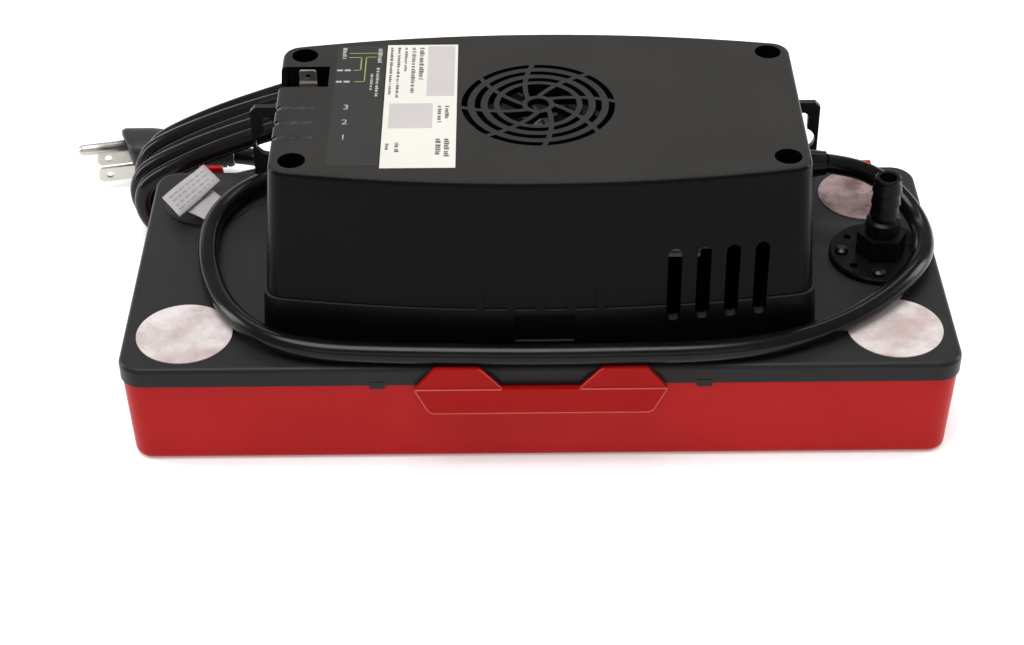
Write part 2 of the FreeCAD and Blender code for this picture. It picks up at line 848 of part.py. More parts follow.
def curved_spoke(turn):
    """One grille spoke: a narrow band that curls out from the hub."""
    radii = (number(s.grille_hub), number(s.petal_outer), number(s.ring_first + s.spoke_past))
    stations = [(radius, angle + turn) for radius, angle in zip(radii, SPOKE_CURL)]
    return curved_band(stations, number(s.spoke_width) / 2)


def grille_cutter(depth):
    """The round grille's openings: petals and slotted rings, parted by curled spokes."""

    def disc(radius):
        return Part.Face(Part.Wire(Part.Circle(Vector(), Vector(0, 0, 1), radius).toShape()))

    slot = number(s.ring_slot)
    rings = [disc(number(s.petal_outer)).cut(disc(number(s.petal_inner)))]
    for index in range(SIZES["ring_count"]):
        low = number(s.ring_first + index * s.ring_pitch)
        rings.append(disc(low + slot).cut(disc(low)))
    spokes = [curved_spoke(360 / SIZES["spoke_count"] * k) for k in range(SIZES["spoke_count"])]
    openings = [disc(number(s.grille_hub))]
    for band in rings:
        openings += band.cut(spokes).Faces
    solid = Part.makeCompound([opening.extrude(Vector(0, 0, depth)) for opening in openings])
    solid.translate(Vector(0, 0, number(s.housing_top + OVER) - depth))
    return solid


def housing_half(height):
    """How far the housing's plain wall reaches along X at a height."""
    share = (height - s.cover_top) / (s.housing_top - s.cover_top)
    return s.housing_foot_half + (s.housing_top_half - s.housing_foot_half) * share


def housing_mid(height):
    """How far the housing's plain wall reaches along Y, in its middle, at a height."""
    share = (height - s.cover_top) / (s.housing_top - s.cover_top)
    return s.housing_foot_mid + (s.housing_top_mid - s.housing_foot_mid) * share


def build_housing():
    """The motor housing: a drafted, bowed shell with a plinth, wedges, vents, wells and a round grille."""
    body = new_body("housing_shell")
    top_wall = s.housing_top - s.housing_wall

    def outline(name, height, half, mid, bow, grow, corner):
        sketch = new_sketch(body, name, "XY_Plane", height)
        bowed_outline(sketch, half + grow, mid + grow, bow, corner)
        return sketch

    ledge = s.cover_top + s.plinth_height
    share = s.plinth_height / (s.housing_top - s.cover_top)
    ledge_bow = s.housing_foot_bow + (s.housing_top_bow - s.housing_foot_bow) * share
    foot_place = (s.cover_top, s.housing_foot_half, s.housing_foot_mid, s.housing_foot_bow)
    head_place = (s.housing_top, s.housing_top_half, s.housing_top_mid, s.housing_top_bow)
    roof_place = (top_wall,) + head_place[1:]
    ledge_place = (ledge, housing_half(ledge), housing_mid(ledge), ledge_bow)
    foot = outline("housing_foot", *foot_place, 0, s.housing_corner)
    head = outline("housing_head", *head_place, 0, s.housing_corner)
    outer = loft(body, "Additive", "housing_outer", head, foot)
    soften(body, outer, "housing_round", s.housing_edge, level_edges(s.housing_top))
    plinth_low = outline("plinth_low", *foot_place, s.plinth_proud, s.housing_corner)
    plinth_high = outline("plinth_high", *ledge_place, s.plinth_proud, s.housing_corner)
    loft(body, "Additive", "plinth", plinth_high, plinth_low)
    inner_corner = s.housing_corner - s.housing_wall
    inner_low = outline("inner_low", *foot_place, -s.housing_wall, inner_corner)
    inner_high = outline("inner_high", *roof_place, -s.housing_wall, inner_corner)
    loft(body, "Subtractive", "housing_inner", inner_high, inner_low)
    fused = join("housing_fused", body, *wedges(ledge), *housing_posts(top_wall))
    openings = well_cuts() + vent_cuts() + edge_cuts()
    openings.append(computed("grille_openings", grille_cutter(2 * number(s.housing_wall))))
    node("housing", cut("housing_whole", fused, *openings))


def wedges(ledge):
    """The row of small wedges that stands on the plinth's front ledge."""
    low = -housing_mid(ledge)
    high = -housing_mid(ledge + s.wedge_height)
    section = [(low - s.plinth_proud, ledge), (low + s.wedge_root, ledge),
               (high + s.wedge_root - 0.2, ledge + s.wedge_height), (high + s.wedge_tip, ledge + s.wedge_height)]
    row = []
    for index in range(SIZES["wedge_count"]):
        x = (index - SIZES["wedge_count"] // 2) * s.wedge_pitch - s.wedge_width / 2
        row.append(prism(f"wedge_{index}", "YZ_Plane", section, x, s.wedge_width))
    return row


def housing_posts(top_wall):
    """What hangs from the housing's roof: four screw wells and two posts for the lamp board."""
    posts = [rod(f"well_{i}", s.well_bore + s.well_wall, x, y, s.well_low, top_wall - s.well_low + OVER)
             for i, (x, y) in enumerate(corners(s.well_x, s.well_y))]
    post_low = s.board_height + s.board_thick
    for index, sign in enumerate((-1, 1)):
        posts.append(rod(f"board_post_{index}", s.board_post_radius, s.board_post_end - s.housing_top_half,
                         s.lens_y + sign * s.board_post_y, post_low, top_wall - post_low + OVER))
    return posts


def well_cuts():
    """The bores of the screw wells and the holes in their floors."""
    tools = []
    for index, (x, y) in enumerate(corners(s.well_x, s.well_y)):
        tools.append(rod(f"well_bore_{index}", s.well_bore, x, y, s.well_floor, s.housing_top))
        tools.append(rod(f"well_hole_{index}", s.housing_screw + s.fit, x, y, s.well_low - OVER,
                         s.well_floor_thick + 2 * OVER))
    return tools


def vent_cuts():
    """The round-ended upright slots in the front wall."""
    tools = []
    half = s.vent_width / 2
    start = -(s.housing_foot_mid + CLEAR)
    deep = s.vent_back - start
    foot = s.vent_low + half
    head = s.vent_high - half
    for index in range(SIZES["vent_count"]):
        x = s.housing_foot_half - s.vent_end + index * s.vent_pitch
        tools.append(block(f"vent_{index}", x - half, start, foot, s.vent_width, deep, head - foot))
        tools.append(rod(f"vent_foot_{index}", half, x, start, foot, deep, "Y"))
        tools.append(rod(f"vent_head_{index}", half, x, start, head, deep, "Y"))
    return tools


def edge_cuts():
    """The lens slots, the terminal opening, the gland's hole and the recess in the plinth."""
    left = -s.housing_foot_half
    tools = []
    for index, y in enumerate(lens_places()):
        width = s.lens_width + 2 * s.fit
        tools.append(block(f"lens_slot_{index}", left, y - width / 2, s.housing_top - s.lens_drop - s.fit,
                           s.lens_length + s.housing_end_lean + s.fit, width, s.lens_drop + 2 * OVER))
    tools.append(block("pocket_opening", left, s.pocket_front, s.pocket_floor,
                       s.housing_foot_half - s.pocket_end, s.pocket_width, s.lens_drop * 3))
    tools.append(rod("gland_hole", s.gland_radius + 2 * s.fit, s.housing_top_half - 2 * CLEAR, s.gland_y,
                     s.gland_height, 4 * CLEAR, "X"))
    tools.append(block("recess", s.recess_left, -(s.housing_foot_mid + CLEAR), s.cover_top + s.recess_rise,
                       s.recess_width, CLEAR + s.recess_sink, s.recess_height))
    return tools


def lens_places():
    """Where the three light guides stand along Y."""
    return [s.lens_y + step * s.lens_pitch for step in (-1, 0, 1)]


def build_housing_screws():
    """Four screws, deep in the wells, that hold the housing to the cover's bosses."""
    seat = s.well_floor
    tip = s.cover_top - OVER
    crown = seat + s.head_height
    half = [(0, tip), (s.housing_screw, tip), (s.housing_screw, seat), (s.screw_head, seat),
            (s.screw_head, seat + s.head_side), (s.screw_head - 1, crown), (0, crown)]
    screws = [lathe(f"housing_screw_{i}", half, x, y) for i, (x, y) in enumerate(corners(s.well_x, s.well_y))]
    node("housing_screws", *screws)


def build_indicators():
    """Three light guides that wrap over the housing's left edge, with their lamps and board."""
    top = s.housing_top
    low = top - s.lens_drop
    edge_high = -housing_half(top)
    edge_low = -housing_half(low)
    thick = s.lens_thick
    inside = s.lens_length - s.housing_top_half
    outline = [(inside, top - thick), (inside, top), (edge_high + 2, top), (edge_high + s.lens_seat, top - 1),
               (edge_low, low), (edge_low + thick, low),
               (edge_high + thick + s.lens_seat, top - thick - s.lens_seat),
               (edge_high + thick + 2 * s.lens_seat, top - thick)]
    base = s.board_height + s.board_thick
    tip = top - thick - s.lamp_gap
    section = [(0, base), (s.lamp_flange, base), (s.lamp_flange, base + 1), (s.lamp_radius, base + 1),
               (s.lamp_radius, tip - s.lamp_dome), (s.lamp_radius - 1, tip), (0, tip)]
    lenses, lamps = [], []
    for index, y in enumerate(lens_places()):
        lenses.append(prism(f"lens_{index}", "XZ_Plane", outline, y - s.lens_width / 2, s.lens_width))
        lamps.append(lathe(f"lamp_{index}", section, s.lamp_end - s.housing_top_half, y))
    node("indicator_lenses", *lenses)
    node("indicator_lamps", *lamps)
    board = block("board_plate", s.board_end - s.housing_top_half, s.lens_y - s.board_width / 2, s.board_height,
                  s.board_length, s.board_width, s.board_thick)
    node("lamp_board", board)


def build_terminals():
    """The alarm terminals: two flat spades in a moulded tray, open to the top and the left side."""
    wall = s.pocket_wall
    under = s.housing_top - s.housing_wall
    left = s.housing_top_half - s.housing_wall - s.tray_gap
    low = s.pocket_floor - s.pocket_base
    length = left - s.pocket_end + wall
    width = s.pocket_width + 2 * wall
    tray = block("tray_block", -left, s.pocket_front - wall, low, length, width, under - low)
    hollow = block("tray_hollow", -left - OVER, s.pocket_front, s.pocket_floor, left - s.pocket_end + OVER,
                   s.pocket_width, s.housing_top - s.pocket_floor)
    slots = []
    blades = []
    half = s.spade_width / 2
    front_edge = -s.spade_x - half
    back_edge = -s.spade_x + half
    shoulder = s.spade_top - s.spade_shoulder
    outline = [(front_edge, low - s.pocket_base), (back_edge, low - s.pocket_base), (back_edge, shoulder),
               (back_edge - s.spade_chamfer, s.spade_top), (front_edge + s.spade_chamfer, s.spade_top),
               (front_edge, shoulder)]
    last = s.pocket_back - s.spade_margin
    for index, y in enumerate((last - s.spade_pitch, last)):
        slots.append(slab(f"spade_slot_{index}", -s.spade_x, y, low - OVER, s.spade_width + 2 * s.fit,
                          s.spade_thick + 2 * s.fit, s.pocket_base + 3 * OVER))
        blade = prism(f"spade_{index}", "XZ_Plane", outline, y - s.spade_thick / 2, s.spade_thick)
        hole = rod(f"spade_hole_{index}", s.spade_hole, -s.spade_x, y - 2 * OVER, s.spade_top - s.spade_hole_drop,
                   4 * OVER, "Y")
        blades.append(cut(f"spade_blade_{index}", blade, hole))
    node("terminal_tray", cut("tray_whole", tray, hollow, *slots))
    node("spade_terminals", *blades)


def build_motor():
    """The shaded-pole motor: stack, coil, brackets, bushings, posts and screws."""
    low, high = s.stack_low, s.stack_high
    start = low - OVER
    through = high - low + 2 * OVER
    stack = block("stack_block", -s.stack_left, -s.stack_half, low, s.stack_left + s.stack_right, 2 * s.stack_half,
                  high - low)
    window = block("stack_window", s.window_left, -s.window_half, start, s.window_right - s.window_left,
                   2 * s.window_half, through)
    bore = rod("stator_bore", s.rotor_radius + s.air_gap, 0, 0, start, through)
    side = s.bracket_screw_y
    screw_places = [(x, y) for x in (-s.post_x, s.post_far) for y in (-side, side)]
    bracket_places = [(0, -side), (0, side)]
    holes = [rod(f"stack_hole_{i}", s.motor_screw + s.fit, x, y, start, through)
             for i, (x, y) in enumerate(screw_places + bracket_places)]
    node("motor_stack", cut("stack_whole", stack, window, bore, *holes))

    leg = (s.window_right + s.stack_right) / 2
    leg_width = s.stack_right - s.window_right
    gap = s.coil_gap
    winding = slab("winding_block", leg, 0, low - s.coil_wall, leg_width + 2 * s.coil_wall,
                   2 * s.window_half - 2 * gap, high - low + 2 * s.coil_wall)
    room = slab("winding_room", leg, 0, low - gap, leg_width + 2 * gap, 2 * (s.window_half + OVER),
                high - low + 2 * gap)
    node("motor_coil", cut("winding_whole", winding, room))

    half = s.bracket_width / 2
    foot = s.stack_half
    inner = s.rotor_radius + s.bracket_gap
    shaft_bore = s.shaft_radius + s.running_fit
    bushings = []
    for name, base, up in (("upper", high, 1), ("lower", low, -1)):
        rise = base + up * s.bracket_rise
        thick = up * s.bracket_thick
        crown = inner - s.bracket_step
        outline = [(-foot, base), (-inner, base), (-crown, rise), (crown, rise), (inner, base), (foot, base),
                   (foot, base + thick), (inner + 1, base + thick), (inner - 1, rise + thick),
                   (-inner + 1, rise + thick), (-inner - 1, base + thick), (-foot, base + thick)]
        strap = prism(f"{name}_strap", "YZ_Plane", outline, -half, s.bracket_width)
        boss_low = rise - s.bushing_length / 2 + thick / 2
        boss_high = boss_low + s.bushing_length
        boss = rod(f"{name}_boss", s.bushing_radius + s.boss_wall, 0, 0, boss_low, s.bushing_length)
        tools = [rod(f"{name}_boss_bore", s.bushing_radius, 0, 0, boss_low - OVER, s.bushing_length + 2 * OVER)]
        tools += [rod(f"{name}_hole_{i}", s.motor_screw + s.fit, x, y, base - CLEAR, 2 * CLEAR)
                  for i, (x, y) in enumerate(bracket_places)]
        fused = join(f"{name}_bracket_fused", strap, boss)
        node(f"{name}_bracket", cut(f"{name}_bracket_whole", fused, *tools))
        section = [(shaft_bore, boss_low), (s.bushing_radius, boss_low), (s.bushing_radius, boss_high),
                   (shaft_bore, boss_high)]
        bushings.append(lathe(f"{name}_bushing", section))
    node("shaft_bushings", *bushings)

    posts = []
    screws = []
    head = s.motor_head_height
    tip = low - s.motor_screw_grip
    for index, (x, y) in enumerate(screw_places):
        post = rod(f"post_{index}", s.post_radius, x, y, s.cover_top, low - s.cover_top)
        bore = rod(f"post_bore_{index}", s.motor_screw + s.fit, x, y, tip - 2 * OVER, low - tip + 3 * OVER)
        posts.append(cut(f"motor_post_{index}", post, bore))
        section = [(0, tip), (s.motor_screw, tip), (s.motor_screw, high), (s.screw_head, high),
                   (s.screw_head, high + head), (0, high + head)]
        screws.append(lathe(f"motor_screw_{index}", section, x, y))
    node("motor_posts", *posts)
    node("motor_screws", *screws)
    top = high + s.bracket_thick
    bottom = low - s.bracket_thick
    section = [(0, bottom - head), (s.screw_head, bottom - head), (s.screw_head, bottom), (s.motor_screw, bottom),
               (s.motor_screw, top), (s.screw_head, top), (s.screw_head, top + head), (0, top + head)]
    rivets = [lathe(f"bracket_screw_{i}", section, x, y) for i, (x, y) in enumerate(bracket_places)]
    node("bracket_screws", *rivets)


def bladed_wheel(name, hub, reach, low, height, thick, lean, count):
    """Curved blades round a hub, each a thin band that leans as it runs out."""
    inner = number(hub) - 0.6
    outer = number(reach)
    lean = number(lean)
    stations = [(inner, 0), ((inner + outer) / 2, lean * BLADE_CURL), (outer, lean)]
    blade = curved_band(stations, number(thick) / 2).extrude(Vector(0, 0, number(height)))
    blade.translate(Vector(0, 0, number(low)))
    wheel = []
    for index in range(count):
        copy = blade.copy()
        copy.rotate(Vector(), Vector(0, 0, 1), 360 * index / count)
        wheel.append(copy)
    return computed(name, Part.makeCompound(wheel))


def build_rotor():
    """Everything that turns: shaft, rotor, cooling fan, slinger and impeller."""
    shaft = [(0, s.shaft_low), (s.shaft_radius - 0.4, s.shaft_low), (s.shaft_radius, s.shaft_low + 0.5),
             (s.shaft_radius, s.shaft_high - 0.5), (s.shaft_radius - 0.4, s.shaft_high), (0, s.shaft_high)]
    node("motor_shaft", lathe("shaft_turned", shaft))
    low = s.stack_low - s.rotor_over
    tall = s.stack_high - s.stack_low + 2 * s.rotor_over
    node("rotor_core", ring("rotor_drum", s.rotor_radius, s.shaft_radius, 0, 0, low, tall))

    hub = ring("fan_hub", s.fan_hub, s.shaft_radius, 0, 0, s.fan_low, s.fan_height)
    floor = ring("fan_floor", s.fan_radius, s.shaft_radius, 0, 0, s.fan_low, s.fan_sheet)
    blades = bladed_wheel("fan_blades_cut", s.fan_hub, s.fan_radius, s.fan_low, s.fan_height, s.fan_sheet,
                          s.fan_lean, SIZES["fan_blades"])
    node("cooling_fan", join("fan_whole", hub, floor, blades))

    disc_low = s.impeller_low + s.impeller_vane
    disc = ring("impeller_plate", s.impeller_radius, s.shaft_radius, 0, 0, disc_low, s.impeller_disc)
    nave = ring("impeller_nave", s.impeller_hub, s.shaft_radius, 0, 0, s.impeller_low,
                s.impeller_vane + s.impeller_disc)
    vanes = bladed_wheel("impeller_vanes_cut", s.impeller_hub, s.impeller_radius, s.impeller_low,
                         s.impeller_vane + s.vane_sink, s.vane_thick, s.vane_lean, SIZES["impeller_vanes"])
    node("impeller", join("impeller_whole", disc, nave, vanes))
    slinger_low = s.cover_top + s.slinger_rise
    slinger = ring("slinger_ring", s.slinger_radius, s.shaft_radius, 0, 0, slinger_low, s.slinger_thick)
    node("water_slinger", slinger)


def build_pump():
    """The pump casing that hangs under the cover, its strainer base and its screws."""
    roof = s.cover_top - s.cover_plate
    outer = s.chamber_radius + s.pump_wall
    low = s.pump_floor + s.pump_base
    shoulder = s.chamber_top + s.pump_wall
    neck = s.neck_bore + s.pump_wall
    flange = outer - s.casing_inset
    flange_low = roof - s.casing_flange
    section = [(s.neck_bore, s.chamber_top), (s.neck_bore, roof), (flange, roof), (flange, flange_low),
               (neck + 1, flange_low), (neck, roof - 4), (neck, shoulder + 2), (neck + 2, shoulder),
               (outer, shoulder), (outer, low), (s.chamber_radius, low), (s.chamber_radius, s.chamber_top)]
    casing = lathe("casing_turned", section)
    pipe_end = outer + s.spout_length
    spout_start = s.chamber_radius + OVER
    throat_start = s.chamber_radius - 2 * OVER
    spout = rod("casing_spout", s.pipe_radius, spout_start, s.outlet_y, s.pipe_height, pipe_end - spout_start, "X")
    throat = rod("casing_throat", s.outlet_bore, throat_start, s.outlet_y, s.pipe_height,
                 pipe_end - throat_start + 2 * OVER, "X")
    screw_y = flange - 4
    places = [(0, screw_y), (0, -screw_y)]
    holes = [rod(f"casing_hole_{i}", s.casing_screw + s.fit, x, y, roof - 4, 5) for i, (x, y) in enumerate(places)]
    node("pump_casing", cut("casing_whole", join("casing_fused", casing, spout), throat, *holes))
    head_low = flange_low - s.casing_head_height
    screw = [(0, head_low), (s.casing_head, head_low), (s.casing_head, flange_low), (s.casing_screw, flange_low),
             (s.casing_screw, roof), (0, roof)]
    node("casing_screws", *[lathe(f"casing_screw_{i}", screw, x, y) for i, (x, y) in enumerate(places)])

    base = rod("strainer_disc", outer, 0, 0, s.pump_floor, s.pump_base)
    parts = [base]
    reach = outer - s.strainer_inset
    foot_low = s.tank_floor + s.strainer_gap
    foot_high = s.pump_floor + 0.8
    for index in range(SIZES["strainer_feet"]):
        angle = 2 * math.pi * (index + 0.5) / SIZES["strainer_feet"]
        parts.append(rod(f"strainer_foot_{index}", s.strainer_foot, reach * math.cos(angle),
                         reach * math.sin(angle), foot_low, foot_high - foot_low))
    eye = rod("strainer_eye", s.pump_inlet, 0, 0, s.pump_floor - OVER, s.pump_base + 2 * OVER)
    node("strainer_base", cut("strainer_whole", join("strainer_fused", *parts), eye))

    bend = number(s.pipe_radius) * 2.5
    start = Vector(number(pipe_end), number(s.outlet_y), number(s.pipe_height))
    elbow = Vector(number(s.outlet_x), number(s.outlet_y), number(s.pipe_height))
    end = Vector(number(s.outlet_x), number(s.outlet_y), number(spigot_low()))
    path = [start, elbow, end]
    outside = pipe_along(path, [bend], number(s.pipe_radius))
    inside = pipe_along(path, [bend], number(s.outlet_bore))
    node("discharge_pipe", computed("pipe_whole", outside.cut(inside)))


def spigot_low():
    """Where the discharge fitting's spigot ends, under the cover."""
    return s.cover_top - s.cover_plate - s.spigot_drop


def path_of(points, bends):
    """Straight runs joined by tangent arcs, as one wire."""
    edges = []
    last = points[0]
    for before, corner, after, bend in zip(points, points[1:], points[2:], bends):
        back = (before - corner).normalize()
        onward = (after - corner).normalize()
        half = back.getAngle(onward) / 2
        reach = bend / math.tan(half)
        first = corner + back * reach
        second = corner + onward * reach
        bisector = (back + onward).normalize()
        middle = corner + bisector * (bend / math.sin(half) - bend)
        edges.append(Part.LineSegment(last, first).toShape())
        edges.append(Part.Arc(first, middle, second).toShape())
        last = second
    edges.append(Part.LineSegment(last, points[-1]).toShape())
    return Part.Wire(edges)


def pipe_along(points, bends, radius):
    """A round bar swept along a path of runs and arcs."""
    direction = points[1] - points[0]
    circle = Part.Wire(Part.Circle(points[0], direction, radius).toShape())
    return path_of(points, bends).makePipeShell([circle], True, False)


def build_discharge():
    """The discharge fitting on its flange, with the check valve inside it."""
    x, y = s.outlet_x, s.outlet_y
    base = s.cover_top
    bore = s.outlet_bore
    spigot = s.barb_lip + s.spigot_margin
    collar = s.barb_lip + s.collar_margin
    boss = s.valve_bore + s.valve_wall
    flange_top = base + s.flange_thick
    valve_low = base + s.valve_floor
    neck = s.valve_top + 2
    section = [(bore, spigot_low()), (spigot, spigot_low()), (spigot, base), (s.outlet_flange, base),
               (s.outlet_flange, flange_top - s.flange_chamfer), (s.outlet_flange - s.flange_chamfer, flange_top),
               (boss, flange_top), (boss, s.hex_top), (collar, s.hex_top), (collar, neck),
               (s.barb_radius, neck + 1)]
    for index in range(SIZES["barb_count"]):
        step = s.valve_top + s.barb_first + index * s.barb_pitch
        section += [(s.barb_radius, step), (s.barb_lip, step), (s.barb_radius, step + s.barb_length)]
    section += [(s.barb_radius, s.barb_top - 0.4), (s.barb_radius - 0.4, s.barb_top), (bore, s.barb_top),
                (bore, neck), (s.valve_bore, s.valve_top), (s.valve_bore, valve_low), (bore, valve_low)]
    turned = lathe("fitting_turned", section, x, y)
    nut = doc.addObject("Part::Prism", "fitting_hex")
    nut.Polygon = 6
    nut.setExpression("Circumradius", text(s.hex_flats / 2 / math.cos(math.pi / 6)))
    nut.setExpression("Height", text(s.hex_top - flange_top))
    place(nut, x, y, flange_top)
    hollow = rod("hex_bore", s.valve_bore + OVER, x, y, base, s.hex_top)
    whole = join("fitting_fused", turned, cut("hex_ring", nut, hollow))
    out = s.flange_screw_ring
    places = [(x + out * math.cos(angle), y + out * math.sin(angle)) for angle in map(math.radians, FLANGE_HOLES)]
    bores = (s.flange_screw + s.fit, s.flange_hole)
    holes = [rod(f"flange_hole_{i}", bores[i % 2], *place_at, base - OVER, CLEAR)
             for i, place_at in enumerate(places)]
    node("discharge_fitting", cut("fitting_whole", whole, *holes))
    head = s.flange_head
    screw_top = flange_top + s.flange_head_height
    screw = [(0, base), (s.flange_screw, base), (s.flange_screw, flange_top), (head, flange_top),
             (head, flange_top + 1), (head - 1, screw_top), (0, screw_top)]
    node("flange_screws", *[lathe(f"flange_screw_{i}", screw, px, py) for i, (px, py) in enumerate(places[::2])])
    node("valve_seat", ring("seat_ring", s.valve_bore - s.fit, s.seat_bore, x, y, valve_low, s.seat_height))
    sit = math.sqrt(SIZES["ball_radius"] ** 2 - SIZES["seat_bore"] ** 2)
    node("check_ball", ball("valve_ball", s.ball_radius, x, y, valve_low + s.seat_height + s.ball_gap + sit))


def build_float():
    """The float and its stem, which rise with the water."""
    x = s.float_x
    top = s.float_low + s.float_height
    body = new_body("float_block")
    sketch = new_sketch(body, "float_outline", "XY_Plane", s.float_low)
    rounded_rectangle(sketch, s.float_length, s.float_width, s.float_corner)
    block_feature = pad(body, sketch, "float_pad", s.float_height)
    soften(body, block_feature, "float_round", s.float_edge, level_edges(top))
    place(body, x, 0, 0)
    foot = top - s.stem_socket
    node("float", cut("float_whole", body, rod("float_socket", s.stem_radius, x, 0, foot, s.stem_socket + OVER)))
    stem = [(0, foot), (s.stem_radius, foot), (s.stem_radius, s.stem_top - 1), (s.stem_radius - 0.6, s.stem_top),
            (0, s.stem_top)]
    node("float_stem", lathe("stem_turned", stem, x, 0))


def build_switches():
    """The float lever, its pin and bracket, and the two snap switches above it."""
    pin_x = s.float_x + s.lever_reach
    under = s.stem_top + s.lever_lift
    axis = under + s.lever_thick + s.pin_radius + 0.4
    half = s.lever_width / 2
    end = s.float_x - s.lever_past
    arm = block("lever_plate", end, -half, under, pin_x - end, s.lever_width, s.lever_thick)
    eye = rod("lever_eye", s.pin_radius + s.eye_wall, pin_x, -half, axis, s.lever_width, "Y")
    eye_bore = rod("lever_bore", s.pin_radius + s.running_fit, pin_x, -half - OVER, axis,
                   s.lever_width + 2 * OVER, "Y")
    node("switch_lever", cut("lever_whole", join("lever_fused", arm, eye), eye_bore))

    wing = s.wing_thick
    reach = half + s.wing_gap + wing
    node("lever_pin", rod("pin_rod", s.pin_radius, pin_x, -reach, axis, 2 * reach, "Y"))
    base = s.cover_top
    roof = s.switch_low + s.switch_height
    start = s.float_x - s.wing_past
    long = pin_x + s.wing_room - start
    parts = [block("wing_front", start, -reach, base, long, wing, roof + wing - base),
             block("wing_back", start, reach - wing, base, long, wing, roof + wing - base),
             block("foot_front", start, -reach - s.wing_foot, base, long, s.wing_foot, wing),
             block("foot_back", start, reach, base, long, s.wing_foot, wing),
             block("wing_tie", pin_x + s.wing_room - s.tie_length, -reach, roof, s.tie_length, 2 * reach, wing)]
    hole = rod("wing_hole", s.pin_radius, pin_x, -reach - OVER, axis, 2 * (reach + OVER), "Y")
    node("switch_bracket", cut("bracket_frame", join("frame_fused", *parts), hole))

    switch_x = pin_x - s.switch_from_pin
    low = s.switch_low
    plungers = []
    for name, sign in (("run_switch", -1), ("alarm_switch", 1)):
        y = sign * s.switch_width / 2
        case = slab(f"{name}_case", switch_x + s.switch_shift, y, low, s.switch_length, s.switch_width,
                    s.switch_height)
        bore = rod(f"{name}_bore", s.plunger_radius + s.fit, switch_x, y, low - OVER, s.plunger_bore + OVER)
        node(name, cut(f"{name}_whole", case, bore))
        plungers.append(rod(f"{name}_plunger", s.plunger_radius, switch_x, y, low - s.plunger_drop,
                            s.plunger_length))
    node("switch_plungers", *plungers)


def cord_points():
    """The free run: out of the gland, round the right end, along the front and the left, and behind."""
    tip = number(s.housing_foot_half + s.gland_length)
    lie = number(s.cover_top + s.cord_radius) + 0.6
    over_flange = lie + number(s.flange_thick) + 0.3
    return [
        (tip, number(s.gland_y), number(s.gland_height)),
        (121.0, 31.2, 63.8),
        (131.0, 29.3, 59.6),
        (138.8, 23.6, 55.2),
        (143.6, 14.6, 51.8),
        (145.0, 3.8, over_flange),
        (143.0, -7.5, over_flange),
        (137.0, -19.0, 50.2),
        (126.0, -31.5, 48.4),
        (107.0, -46.5, lie),
        (84.5, -57.2, lie),
        (60.0, -61.4, lie),
        (30.0, -62.0, lie),
        (0.0, -62.4, lie),
        (-30.0, -61.6, lie),
        (-56.0, -60.6, lie),
        (-77.0, -59.2, 47.6),
        (-93.8, -54.8, 48.2),
        (-104.4, -46.4, 48.6),
        (-112.8, -34.6, 48.0),
        (-119.4, -19.0, lie),
        (-123.8, 0.0, lie),
        (-124.5, 22.0, lie),
        (-116.5, 41.0, lie),
        (-103.5, 52.0, lie),
        (-92.5, 55.0, lie),
        (-84.5, 60.0, 50.0),
        (-77.5, 66.0, 54.6),
        (-70.5, 71.3, 57.8),
    ]


def tail_points():
    """From the coil down to the plug."""
    rear = number(s.plug_x + s.plug_length / 2 + 14)
    return [
        (-96.0, 109.3, 17.7),
        (-104.5, 112.3, 15.3),
        (-112.5, 118.0, 12.8),
        (-119.5, 123.3, 11.3),
        (rear, number(s.plug_y), number(s.plug_height)),
    ]


def cord_tube(name, points):
    """A tube whose arcs are as large as their two runs allow."""
    line = [Vector(*point) for point in points]
    bends = []
    for before, corner, after in zip(line, line[1:], line[2:]):
        shorter = min((corner - before).Length, (after - corner).Length)
        turn = math.pi - (before - corner).getAngle(after - corner)
        bends.append(0.45 * shorter / math.tan(turn / 2))
    radius = number(s.cord_radius)
    tube = pipe_along(line, bends, radius)
    length = path_of(line, bends).Length
    print(f"{name}: length {length:.1f}, radii {[round(b, 1) for b in bends]},",
          f"volume ratio {tube.Volume / (math.pi * radius ** 2 * length):.4f}")
    node(name, computed(f"{name}_tube", tube))
    return tube


def hank_face(grown):
    """The loop that the wound cord follows, round a left and a right end, grown outwards."""
    tilt = math.radians(number(s.hank_tilt))
    reach = number(s.hank_length)
    left = Vector(number(s.hank_x), number(s.hank_front), number(s.hank_height))
    right = left + Vector(reach * math.cos(tilt), 0, reach * math.sin(tilt))
    small = number(s.hank_left_bend + grown)
    large = number(s.hank_right_bend + grown)
    lean = math.asin((large - small) / reach)
    high = tilt + math.pi / 2 + lean
    low = tilt - math.pi / 2 - lean

    def rim(centre, radius, angle):
        return centre + Vector(radius * math.cos(angle), 0, radius * math.sin(angle))

    left_end = [rim(left, small, angle) for angle in (high, tilt + math.pi, low)]
    right_end = [rim(right, large, angle) for angle in (low, tilt, high)]
    edges = [Part.Arc(*left_end).toShape(), Part.LineSegment(left_end[2], right_end[0]).toShape(),
             Part.Arc(*right_end).toShape(), Part.LineSegment(right_end[2], left_end[0]).toShape()]
    return Part.Face(Part.Wire(edges))


